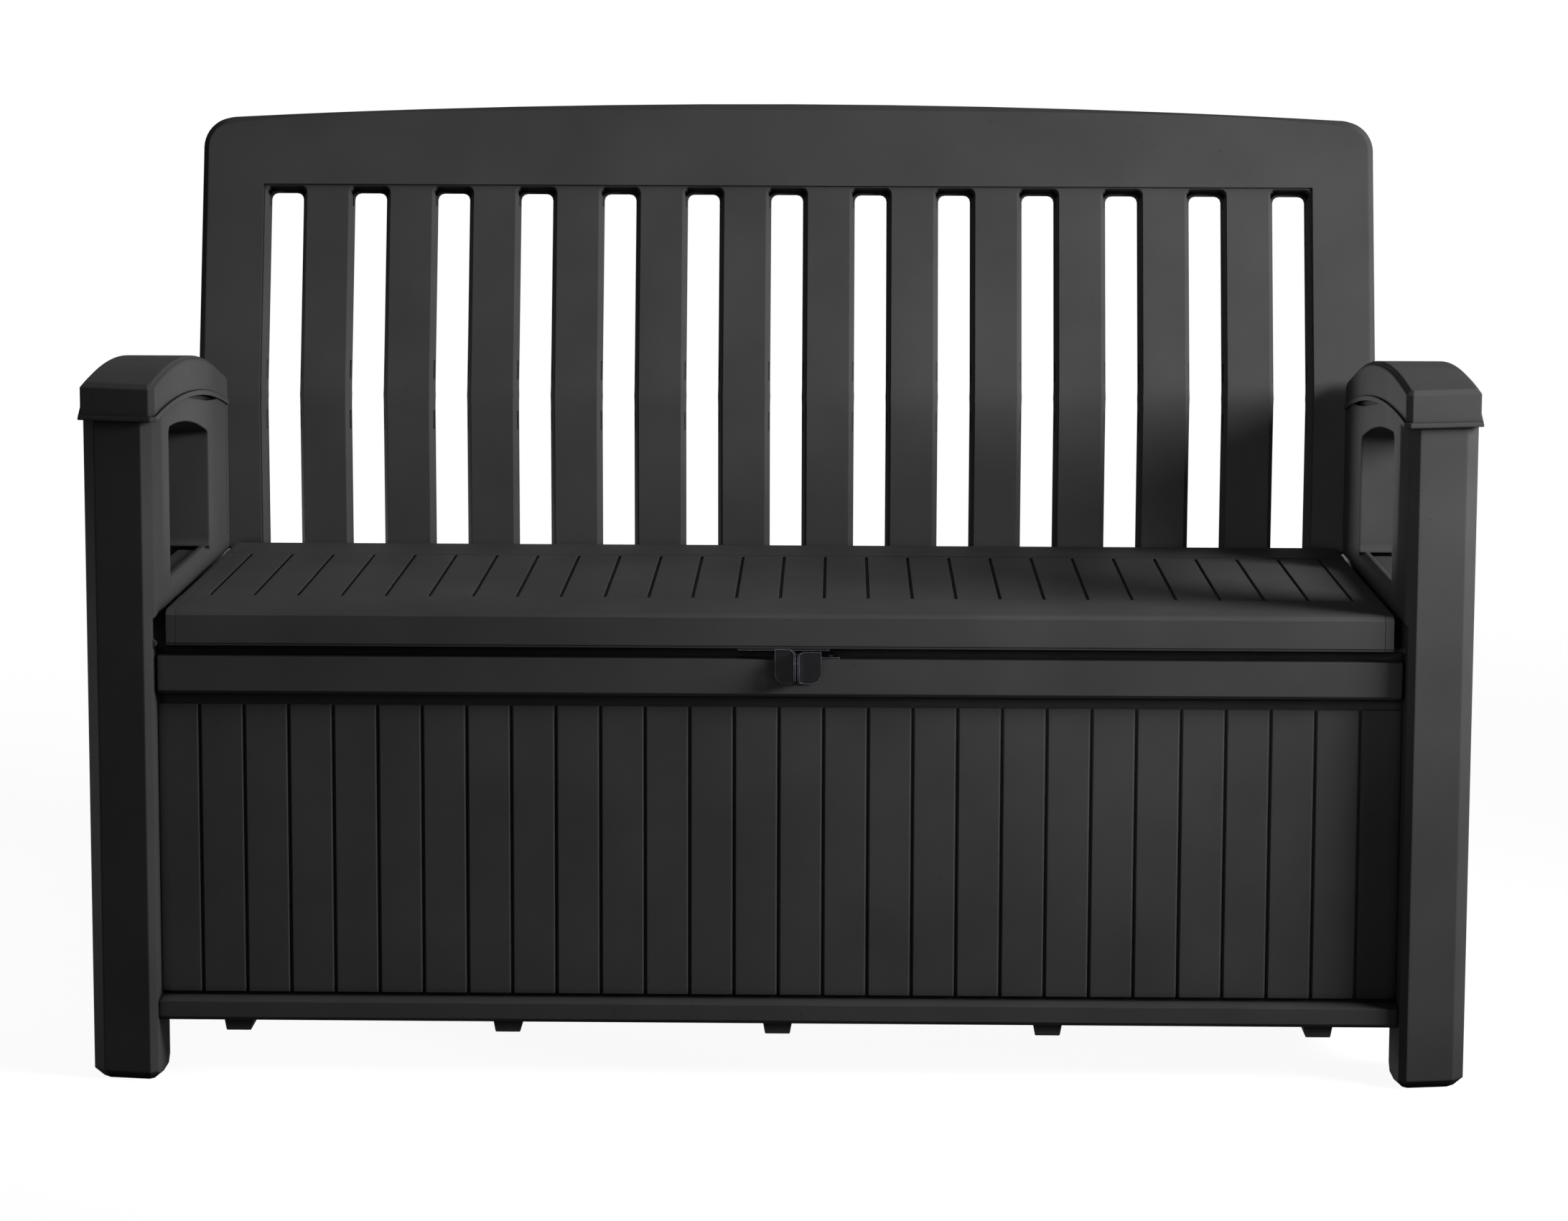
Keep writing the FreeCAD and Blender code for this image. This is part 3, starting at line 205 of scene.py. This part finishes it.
def noise(tree, place, scale, detail=2.0):
    """Socket with a noise of so many counts per metre."""
    node = add_node(tree, "ShaderNodeTexNoise", Scale=scale, Detail=detail)
    tree.links.new(place, node.inputs["Vector"])
    return node.outputs["Fac"]


def spread_over(tree, value, low, high):
    """Maps the middle of a noise to the range between two values."""
    node = add_node(tree, "ShaderNodeMapRange", From_Min=NOISE_LOW, From_Max=NOISE_HIGH,
                    To_Min=low, To_Max=high)
    tree.links.new(value, node.inputs["Value"])
    return node.outputs["Result"]


def two_tones(tree, value, dark, light):
    """Maps the middle of a noise to the colours between two tones."""
    ramp = add_node(tree, "ShaderNodeValToRGB")
    ramp.color_ramp.elements[0].position = NOISE_LOW
    ramp.color_ramp.elements[0].color = (*dark, 1.0)
    ramp.color_ramp.elements[1].position = NOISE_HIGH
    ramp.color_ramp.elements[1].color = (*light, 1.0)
    tree.links.new(value, ramp.inputs["Fac"])
    return ramp.outputs["Color"]


def bump(tree, height, strength, distance, below=None):
    """Socket with a normal that follows a height, on top of the normal below it."""
    node = add_node(tree, "ShaderNodeBump", Strength=strength, Distance=distance)
    tree.links.new(height, node.inputs["Height"])
    if below is not None:
        tree.links.new(below, node.inputs["Normal"])
    return node.outputs["Normal"]


def scaled(tree, colour, factor):
    """Colour times a factor."""
    node = add_node(tree, "ShaderNodeVectorMath", {"operation": "SCALE"})
    tree.links.new(colour, node.inputs["Vector"])
    tree.links.new(factor, node.inputs["Scale"])
    return node.outputs["Vector"]


def seen_directly(tree):
    """Socket that is one where the camera, a reflection or glass looks straight at the surface."""
    path = add_node(tree, "ShaderNodeLightPath")
    first = add_node(tree, "ShaderNodeMath", {"operation": "MAXIMUM"})
    second = add_node(tree, "ShaderNodeMath", {"operation": "MAXIMUM"})
    tree.links.new(path.outputs["Is Camera Ray"], first.inputs[0])
    tree.links.new(path.outputs["Is Glossy Ray"], first.inputs[1])
    tree.links.new(first.outputs[0], second.inputs[0])
    tree.links.new(path.outputs["Is Transmission Ray"], second.inputs[1])
    return second.outputs[0]


def make_camera():
    """Camera at the photograph's angle."""
    data = bpy.data.cameras.new("camera")
    data.sensor_width = CAMERA_SENSOR
    data.lens = CAMERA_LENS
    data.shift_y = CAMERA_SHIFT_Y
    data.clip_start = CAMERA_CLIP
    camera = bpy.data.objects.new("camera", data)
    bpy.context.scene.collection.objects.link(camera)
    turn = (Matrix.Rotation(CAMERA_YAW, 4, "Z")
            @ Matrix.Rotation(math.pi / 2 - CAMERA_PITCH, 4, "X")
            @ Matrix.Rotation(CAMERA_ROLL, 4, "Z"))
    camera.matrix_world = Matrix.Translation(CAMERA_PLACE) @ turn
    bpy.context.scene.camera = camera


def make_world():
    """White surroundings that light the bench only softly."""
    world = bpy.data.worlds.new("studio")
    bpy.context.scene.world = world
    world.use_nodes = True
    tree = world.node_tree
    background = tree.nodes["Background"]
    background.inputs["Color"].default_value = WHITE
    strength = add_node(tree, "ShaderNodeMapRange", To_Min=WORLD_FILL, To_Max=1.0)
    tree.links.new(seen_directly(tree), strength.inputs["Value"])
    tree.links.new(strength.outputs["Result"], background.inputs["Strength"])


def floor_material():
    """Grey that takes shadows, with a glow that is only seen and lights nothing."""
    material = bpy.data.materials.new("floor")
    material.use_nodes = True
    tree = material.node_tree
    tree.nodes.remove(tree.nodes["Principled BSDF"])
    diffuse = add_node(tree, "ShaderNodeBsdfDiffuse", Color=FLOOR_COLOUR)
    glow = add_node(tree, "ShaderNodeEmission", Color=WHITE)
    away = add_node(tree, "ShaderNodeVectorMath", {"operation": "LENGTH"})
    tree.links.new(place_socket(tree), away.inputs["Vector"])
    brightness = add_node(tree, "ShaderNodeMapRange", From_Min=FLOOR_NEAR, From_Max=FLOOR_FAR,
                          To_Min=FLOOR_GLOW, To_Max=1.0)
    tree.links.new(away.outputs["Value"], brightness.inputs["Value"])
    strength = add_node(tree, "ShaderNodeMath", {"operation": "MULTIPLY"})
    tree.links.new(brightness.outputs["Result"], strength.inputs[1])
    both = add_node(tree, "ShaderNodeAddShader")
    tree.links.new(seen_directly(tree), strength.inputs[0])
    tree.links.new(strength.outputs["Value"], glow.inputs["Strength"])
    tree.links.new(diffuse.outputs["BSDF"], both.inputs[0])
    tree.links.new(glow.outputs["Emission"], both.inputs[1])
    tree.links.new(both.outputs["Shader"], tree.nodes["Material Output"].inputs["Surface"])
    return material


def make_floor():
    """Pale floor that looks white and still takes the bench's shadow."""
    half = FLOOR_SIZE / 2
    corners = [(-half, -half, 0), (half, -half, 0), (half, half, 0), (-half, half, 0)]
    mesh = bpy.data.meshes.new("floor")
    mesh.from_pydata(corners, [], [(0, 1, 2, 3)])
    floor = bpy.data.objects.new("floor", mesh)
    bpy.context.scene.collection.objects.link(floor)
    floor.data.materials.append(floor_material())


def make_light(name, place, target, power, size, spread):
    """Area lamp at a place, turned to a target, with its spread in degrees."""
    data = bpy.data.lights.new(name, "AREA")
    data.energy = power
    data.shape = "RECTANGLE"
    data.size = size[0]
    data.size_y = size[1]
    data.spread = math.radians(spread)
    lamp = bpy.data.objects.new(name, data)
    bpy.context.scene.collection.objects.link(lamp)
    lamp.location = place
    lamp.rotation_euler = (Vector(target) - Vector(place)).to_track_quat("-Z", "Y").to_euler()


def make_lights():
    """Key lamp from the right, weak fills for the front and the shaded side, and fills for back and left."""
    make_light("key", place=(2.15, -0.95, 1.35), target=(0.6, -0.2, 0.9),
               power=24.0, size=(0.85, 0.85), spread=80.0)
    make_light("overhead", place=(-0.25, -0.3, 2.0), target=(-0.6, -0.1, 0.7),
               power=0.75, size=(0.6, 0.6), spread=60.0)
    make_light("front_fill", place=(0.0, -3.6, 1.3), target=(0.0, 0.0, 0.8),
               power=1.0, size=(1.0, 1.0), spread=50.0)
    make_light("right_bounce", place=(0.05, -1.5, 0.85), target=(0.52, 0.2, 0.62),
               power=0.5, size=(0.4, 0.4), spread=50.0)
    make_light("back_fill", place=(-0.2, 3.2, 0.2), target=(0.0, 0.2, 0.5),
               power=11.0, size=(1.2, 0.5), spread=60.0)
    make_light("left_fill", place=(-2.6, 1.45, 0.28), target=(-0.7, 0.0, 0.28),
               power=4.2, size=(0.8, 0.4), spread=20.0)


def new_material(name):
    """A material, its node tree and its shader."""
    material = bpy.data.materials.new(name)
    material.use_nodes = True
    tree = material.node_tree
    return material, tree, tree.nodes["Principled BSDF"]


def edge_radius(tree, place):
    """Socket with the radius of soft edges: crisp on the box and the lid, rounder on the arms."""
    parts = add_node(tree, "ShaderNodeSeparateXYZ")
    tree.links.new(place, parts.inputs["Vector"])
    aside = add_node(tree, "ShaderNodeMath", {"operation": "ABSOLUTE"})
    tree.links.new(parts.outputs["X"], aside.inputs[0])
    radius = add_node(tree, "ShaderNodeMapRange", From_Min=ARM_START - ARM_BLEND, From_Max=ARM_START,
                      To_Min=CRISP_EDGE, To_Max=ARM_EDGE)
    tree.links.new(aside.outputs["Value"], radius.inputs["Value"])
    return radius.outputs["Result"]


def specks(tree, place):
    """Socket with a factor that is one on clear resin and falls on a few dark specks."""
    cells = add_node(tree, "ShaderNodeTexVoronoi", Scale=SPECK_SCALE)
    tree.links.new(place, cells.inputs["Vector"])
    clear = add_node(tree, "ShaderNodeMapRange", From_Min=SPECK_CORE, From_Max=SPECK_RIM,
                     To_Min=SPECK_TONE, To_Max=1.0)
    tree.links.new(cells.outputs["Distance"], clear.inputs["Value"])
    return clear.outputs["Result"]


def painted_gap_shade(tree):
    """Socket with a factor that is one on open surfaces and falls in seams and narrow gaps: painted shade
    that darkens the colour where other surfaces come close.
    """
    shade = add_node(tree, "ShaderNodeAmbientOcclusion", {"samples": PAINTED_SHADE_SAMPLES}, Distance=PAINTED_SHADE_REACH)
    open_part = add_node(tree, "ShaderNodeMapRange", From_Min=PAINTED_SHADE_CLOSED, From_Max=PAINTED_SHADE_OPEN,
                         To_Min=PAINTED_SHADE_TONE, To_Max=1.0)
    tree.links.new(shade.outputs["AO"], open_part.inputs["Value"])
    return open_part.outputs["Result"]


def moulded_resin(name, dark, light, rough_low, rough_high, grain_depth):
    """Moulded resin: fine pebbled grain, slow unevenness of the wall, cloudy tone with a few dark specks,
    painted shade in seams and narrow gaps, and soft edges."""
    material, tree, shader = new_material(name)
    place = place_socket(tree)
    cloud = noise(tree, place, CLOUD_SCALE, CLOUD_DETAIL)
    grain = noise(tree, place, GRAIN_SCALE, GRAIN_DETAIL)
    wave = noise(tree, place, WAVE_SCALE, WAVE_DETAIL)
    tone = two_tones(tree, cloud, dark, light)
    mottled = scaled(tree, tone, specks(tree, place))
    # The colour carries painted shade, darker in seams and narrow gaps
    tree.links.new(scaled(tree, mottled, painted_gap_shade(tree)), shader.inputs["Base Color"])
    tree.links.new(spread_over(tree, grain, rough_low, rough_high), shader.inputs["Roughness"])
    rounded = add_node(tree, "ShaderNodeBevel", {"samples": SOFT_EDGE_SAMPLES})
    tree.links.new(edge_radius(tree, place), rounded.inputs["Radius"])
    slow = bump(tree, wave, WAVE_STRENGTH, WAVE_DEPTH, rounded.outputs["Normal"])
    tree.links.new(bump(tree, grain, GRAIN_STRENGTH, grain_depth, slow), shader.inputs["Normal"])
    shader.inputs["Specular IOR Level"].default_value = RESIN_SPECULAR
    return material


def painted_edge_highlight(tree):
    """Socket with a factor that is one on flat surfaces and rises along edges, to paint a highlight there.
    """
    rounded = add_node(tree, "ShaderNodeBevel", {"samples": EDGE_HIGHLIGHT_SAMPLES}, Radius=EDGE_HIGHLIGHT_RADIUS)
    surface = add_node(tree, "ShaderNodeNewGeometry")
    flat = add_node(tree, "ShaderNodeVectorMath", {"operation": "DOT_PRODUCT"})
    tree.links.new(rounded.outputs["Normal"], flat.inputs[0])
    tree.links.new(surface.outputs["Normal"], flat.inputs[1])
    factor = add_node(tree, "ShaderNodeMapRange", From_Min=EDGE_HIGHLIGHT_TURNED, From_Max=EDGE_HIGHLIGHT_FLAT,
                      To_Min=EDGE_HIGHLIGHT_GAIN, To_Max=1.0)
    tree.links.new(flat.outputs["Value"], factor.inputs["Value"])
    return factor.outputs["Result"]


def coated_metal(name, dark, light):
    """Gloss black coating with a faint orange peel, and a painted highlight along its edges."""
    material, tree, shader = new_material(name)
    place = place_socket(tree)
    tone = two_tones(tree, noise(tree, place, COATING_CLOUD_SCALE), dark, light)
    # Painted highlight: the coating's colour is lightened along its edges
    tree.links.new(scaled(tree, tone, painted_edge_highlight(tree)), shader.inputs["Base Color"])
    polish = noise(tree, place, COATING_POLISH_SCALE)
    roughness = spread_over(tree, polish, COATING_ROUGH_LOW, COATING_ROUGH_HIGH)
    tree.links.new(roughness, shader.inputs["Roughness"])
    peel = bump(tree, noise(tree, place, PEEL_SCALE), PEEL_STRENGTH, PEEL_DEPTH)
    tree.links.new(peel, shader.inputs["Normal"])
    shader.inputs["Specular IOR Level"].default_value = COATING_SPECULAR
    shader.inputs["Coat Weight"].default_value = COATING_GLOSS
    shader.inputs["Coat Roughness"].default_value = COATING_GLOSS_ROUGHNESS
    return material


def plated_steel(name, dark, light, rough_low, rough_high):
    """Zinc plated steel with cloudy tone and fine scratches."""
    material, tree, shader = new_material(name)
    place = place_socket(tree)
    cloud = noise(tree, place, PLATING_CLOUD_SCALE, PLATING_CLOUD_DETAIL)
    tree.links.new(two_tones(tree, cloud, dark, light), shader.inputs["Base Color"])
    polish = noise(tree, place, PLATING_POLISH_SCALE)
    tree.links.new(spread_over(tree, polish, rough_low, rough_high), shader.inputs["Roughness"])
    scratches = bump(tree, noise(tree, place, SCRATCH_SCALE), SCRATCH_STRENGTH, SCRATCH_DEPTH)
    tree.links.new(scratches, shader.inputs["Normal"])
    shader.inputs["Metallic"].default_value = 1.0
    return material


def galvanised_steel(name, dark, light):
    """Galvanised tube with spangles."""
    material, tree, shader = new_material(name)
    place = place_socket(tree)
    spangle = add_node(tree, "ShaderNodeTexVoronoi", Scale=SPANGLE_SCALE)
    tree.links.new(place, spangle.inputs["Vector"])
    grey = add_node(tree, "ShaderNodeRGBToBW")
    tree.links.new(spangle.outputs["Color"], grey.inputs["Color"])
    tree.links.new(two_tones(tree, grey.outputs["Val"], dark, light), shader.inputs["Base Color"])
    roughness = spread_over(tree, grey.outputs["Val"], SPANGLE_ROUGH_LOW, SPANGLE_ROUGH_HIGH)
    tree.links.new(roughness, shader.inputs["Roughness"])
    shader.inputs["Metallic"].default_value = 1.0
    return material


def make_materials():
    """Materials by the slot that they fill."""
    return {
        "charcoal_resin": moulded_resin(
            "charcoal_resin", dark=(0.043, 0.043, 0.044), light=(0.053, 0.053, 0.054),
            rough_low=0.6, rough_high=0.75, grain_depth=0.3 * MM),
        "hinge_resin": moulded_resin(
            "hinge_resin", dark=(0.026, 0.026, 0.027), light=(0.033, 0.033, 0.034),
            rough_low=0.5, rough_high=0.62, grain_depth=0.15 * MM),
        "hasp_metal": coated_metal(
            "hasp_metal", dark=(0.0055, 0.005, 0.0062), light=(0.0085, 0.008, 0.0095)),
        "pin_steel": plated_steel(
            "pin_steel", dark=(0.48, 0.48, 0.5), light=(0.6, 0.6, 0.61),
            rough_low=0.28, rough_high=0.42),
        "screw_steel": plated_steel(
            "screw_steel", dark=(0.44, 0.44, 0.45), light=(0.56, 0.56, 0.57),
            rough_low=0.3, rough_high=0.45),
        "stiffener_steel": galvanised_steel(
            "stiffener_steel", dark=(0.48, 0.49, 0.5), light=(0.66, 0.67, 0.68)),
    }


def geometry_group(name):
    """Node group that takes a shape in and gives one out, with the nodes at both ends."""
    group = bpy.data.node_groups.new(name, "GeometryNodeTree")
    group.interface.new_socket("Geometry", in_out="INPUT", socket_type="NodeSocketGeometry")
    group.interface.new_socket("Geometry", in_out="OUTPUT", socket_type="NodeSocketGeometry")
    return group, group.nodes.new("NodeGroupInput"), group.nodes.new("NodeGroupOutput")


def cutting_group(name):
    """Node group that cuts other shapes out of a shape, and the socket that takes these."""
    group, start, end = geometry_group(name)
    cut = add_node(group, "GeometryNodeMeshBoolean", {"operation": "DIFFERENCE", "solver": "EXACT"})
    group.links.new(start.outputs[0], cut.inputs["Mesh 1"])
    group.links.new(cut.outputs["Mesh"], end.inputs[0])
    return group, cut.inputs["Mesh 2"]


def clean_shading():
    """Node group that joins the facets of a node's mesh and shades them smoothly."""
    group, start, end = geometry_group("clean_shading")
    merge = add_node(group, "GeometryNodeMergeByDistance", Distance=FACET_MERGE)
    normal = add_node(group, "GeometryNodeSetMeshNormal", Remove_Custom=True)
    group.links.new(start.outputs[0], merge.inputs["Geometry"])
    group.links.new(merge.outputs["Geometry"], normal.inputs["Mesh"])
    group.links.new(normal.outputs["Mesh"], end.inputs[0])
    return group


def slit_row(group, height):
    """Socket with a row of cutters at one height: each crosses a gap and the slats' walls beside it."""
    lean = UPPER_LEAN if height > CREASE_Z else LOWER_LEAN
    along = (height - CREASE_Z + SLIT_DEPTH * math.sin(lean)) / math.cos(lean)
    depth = CREASE_Y + along * math.sin(lean) + SLIT_DEPTH * math.cos(lean)
    row = add_node(group, "GeometryNodeMeshLine", Count=GAP_COUNT, Offset=(GAP_PITCH, 0.0, 0.0),
                   Start_Location=(-(GAP_COUNT - 1) / 2 * GAP_PITCH, depth, height))
    cutter = add_node(group, "GeometryNodeMeshCube", Size=(SLIT_LONG, SLIT_WIDE, SLIT_TALL))
    placed = add_node(group, "GeometryNodeInstanceOnPoints", Rotation=(-lean, 0.0, 0.0))
    group.links.new(row.outputs["Mesh"], placed.inputs["Points"])
    group.links.new(cutter.outputs["Mesh"], placed.inputs["Instance"])
    single = add_node(group, "GeometryNodeRealizeInstances")
    group.links.new(placed.outputs["Instances"], single.inputs["Geometry"])
    return single.outputs["Geometry"]


def snap_slits():
    """Node group that cuts the snap slits into the backrest's front shell."""
    group, cutters = cutting_group("snap_slits")
    for height in SLIT_HEIGHTS:
        group.links.new(slit_row(group, height), cutters)
    return group


def eye_hole(x, y, z):
    """Node group that bores a padlock eye along X."""
    group, cutters = cutting_group("eye_hole")
    drill = add_node(group, "GeometryNodeMeshCylinder", Vertices=EYE_SIDES, Radius=EYE_RADIUS,
                     Depth=2 * HASP_METAL)
    placed = add_node(group, "GeometryNodeTransform", Translation=(x, y, z),
                      Rotation=(0.0, math.pi / 2, 0.0))
    group.links.new(drill.outputs["Mesh"], placed.inputs["Geometry"])
    group.links.new(placed.outputs["Geometry"], cutters)
    return group


def soften_edges(node, shading, width, slits=None):
    """Rounds a node's edges with modifiers, which leave its own mesh as it is."""
    clean = node.modifiers.new("clean", "NODES")
    clean.node_group = shading
    bevel = node.modifiers.new("edges", "BEVEL")
    bevel.loop_slide = False
    bevel.width = width
    bevel.segments = EDGE_SEGMENTS
    bevel.limit_method = "ANGLE"
    bevel.angle_limit = EDGE_ANGLE
    bevel.harden_normals = True
    bevel.use_clamp_overlap = True
    if slits is not None:
        cut = node.modifiers.new("slits", "NODES")
        cut.node_group = slits
    weighted = node.modifiers.new("normals", "WEIGHTED_NORMAL")
    weighted.keep_sharp = False
    weighted.weight = FACE_WEIGHT


def dress_nodes(materials):
    """Gives each node its material and its rounded edges."""
    shading = clean_shading()
    slits = {"backrest_front_shell": snap_slits()}
    for row in frame["record"]["subparts"]:
        name = row["node"]
        node = frame["nodes"][name]
        node.data.materials.clear()
        node.data.materials.append(materials[row["material_slot"]])
        soften_edges(node, shading, WIDE_EDGES.get(name, EDGE_WIDTH), slits.get(name))


def bent_line(outer, inner, back, front):
    """Middle of a bent sheet seen from above: along the tab, round the bend and forward to its edge.
    Its points lie closer together at both ends, where the sheet's corners are round."""
    side = math.copysign(1.0, inner - outer)
    bend_start = inner - side * HASP_BEND
    bend_end = back - HASP_BEND
    points = []
    for step in range(TAB_STEPS + 1):
        share = (step / TAB_STEPS) ** 2
        points.append((outer + (bend_start - outer) * share, back))
    for step in range(1, BEND_STEPS + 1):
        turn = math.pi / 2 * step / BEND_STEPS
        x = bend_start + side * HASP_BEND * math.sin(turn)
        y = back - HASP_BEND * (1 - math.cos(turn))
        points.append((x, y))
    for step in range(1, EYE_STEPS + 1):
        share = 1 - (1 - step / EYE_STEPS) ** 2
        points.append((inner, bend_end - (bend_end - front) * share))
    return points


def corner_lift(distance, radius):
    """Height by which a round corner lifts a sheet's edge at a distance from its end."""
    if distance >= radius:
        return 0.0
    return radius - math.sqrt(radius ** 2 - (radius - distance) ** 2)


def bent_sheet(points, bottom, tab_top, eye_top):
    """Vertices and faces of a bent sheet with a round outer corner on its tab and a rounded eye."""
    places = [0.0]
    for before, after in zip(points, points[1:]):
        places.append(places[-1] + math.dist(before, after))
    length = places[-1]
    rows = HASP_ROWS + 1
    vertices = []
    for index, (point, place) in enumerate(zip(points, places)):
        bent = min(max((index - TAB_STEPS) / BEND_STEPS, 0.0), 1.0)
        eye = corner_lift(length - place, EYE_CORNER)
        low = bottom + EYE_LIFT * bent + eye + corner_lift(place, HASP_CORNER)
        high = tab_top + (eye_top - tab_top) * bent - eye
        for row in range(rows):
            vertices.append((*point, low + (high - low) * row / HASP_ROWS))
    faces = []
    for column in range(len(points) - 1):
        for row in range(HASP_ROWS):
            first = column * rows + row
            faces.append((first, first + rows, first + rows + 1, first + 1))
    return vertices, faces


def hasp_half(node, body, sheet, plate, eye, material):
    """One half of the hasp: a bent sheet and the plate that is screwed on, in the place of its node."""
    vertices, faces = sheet
    first = len(vertices)
    vertices = vertices + plate
    faces = faces + [tuple(range(first, len(vertices)))]
    mesh = bpy.data.meshes.new(node + "_bent")
    mesh.from_pydata(vertices, [], faces)
    mesh.materials.append(material)
    for face in mesh.polygons:
        face.use_smooth = True
    piece = bpy.data.objects.new(node + "_bent", mesh)
    bpy.context.scene.collection.objects.link(piece)
    thick = piece.modifiers.new("thickness", "SOLIDIFY")
    thick.thickness = HASP_METAL
    thick.offset = 0.0
    bore = piece.modifiers.new("eye", "NODES")
    bore.node_group = eye_hole(*eye)
    edges = piece.modifiers.new("edges", "BEVEL")
    edges.width = HASP_EDGE
    edges.segments = HASP_EDGE_SEGMENTS
    edges.limit_method = "ANGLE"
    edges.angle_limit = HASP_EDGE_ANGLE
    edges.harden_normals = True
    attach(piece, body)
    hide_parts(node)


def make_lid_hasp(material):
    """The lid's half: a strip under the lid's front edge with a tab that hangs down, on the left."""
    low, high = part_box("lid_hasp")
    inner = HASP_MIDDLE - HASP_GAP / 2
    outer = inner - LID_TAB_WIDTH
    middle = inner - HASP_METAL / 2
    back = low.y + LID_TAB_SETBACK + HASP_METAL / 2
    level = high.z - HASP_METAL / 2
    sheet = bent_sheet(bent_line(outer, middle, back, low.y), low.z, level, low.z + EYE_TOP)
    near = low.y + LID_TAB_SETBACK + HASP_EDGE
    far = low.y + LID_TAB_SETBACK + LID_STRIP_DEPTH
    plate = [(low.x, near, level), (high.x, near, level), (high.x, far, level), (low.x, far, level)]
    eye = (middle, low.y + EYE_SETBACK, low.z + EYE_RISE)
    hasp_half("lid_hasp", "lid", sheet, plate, eye, material)


def make_panel_hasp(material):
    """The panel's half: a plate on the front rail with a tab before the rail, on the right."""
    low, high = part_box("panel_hasp")
    inner = HASP_MIDDLE + HASP_GAP / 2
    outer = inner + PANEL_TAB_WIDTH
    middle = inner + HASP_METAL / 2
    back = low.y + PANEL_TAB_SETBACK + HASP_METAL / 2
    top = low.z + PANEL_TAB_RISE
    sheet = bent_sheet(bent_line(outer, middle, back, low.y), low.z, top, low.z + EYE_TOP)
    level = low.z + PANEL_PLATE_LOW + HASP_METAL / 2
    near = back + PANEL_PLATE_SETBACK
    plate = [(inner, back, level), (outer, back, level), (outer, near, level), (high.x, near, level),
             (high.x, high.y, level), (inner, high.y, level)]
    eye = (middle, low.y + EYE_SETBACK, low.z + EYE_RISE)
    hasp_half("panel_hasp", "bench", sheet, plate, eye, material)


make_camera()
make_world()
make_floor()
make_lights()
materials = make_materials()
dress_nodes(materials)
make_lid_hasp(materials["hasp_metal"])
make_panel_hasp(materials["hasp_metal"])

bpy.context.scene.view_settings.view_transform = "Standard"
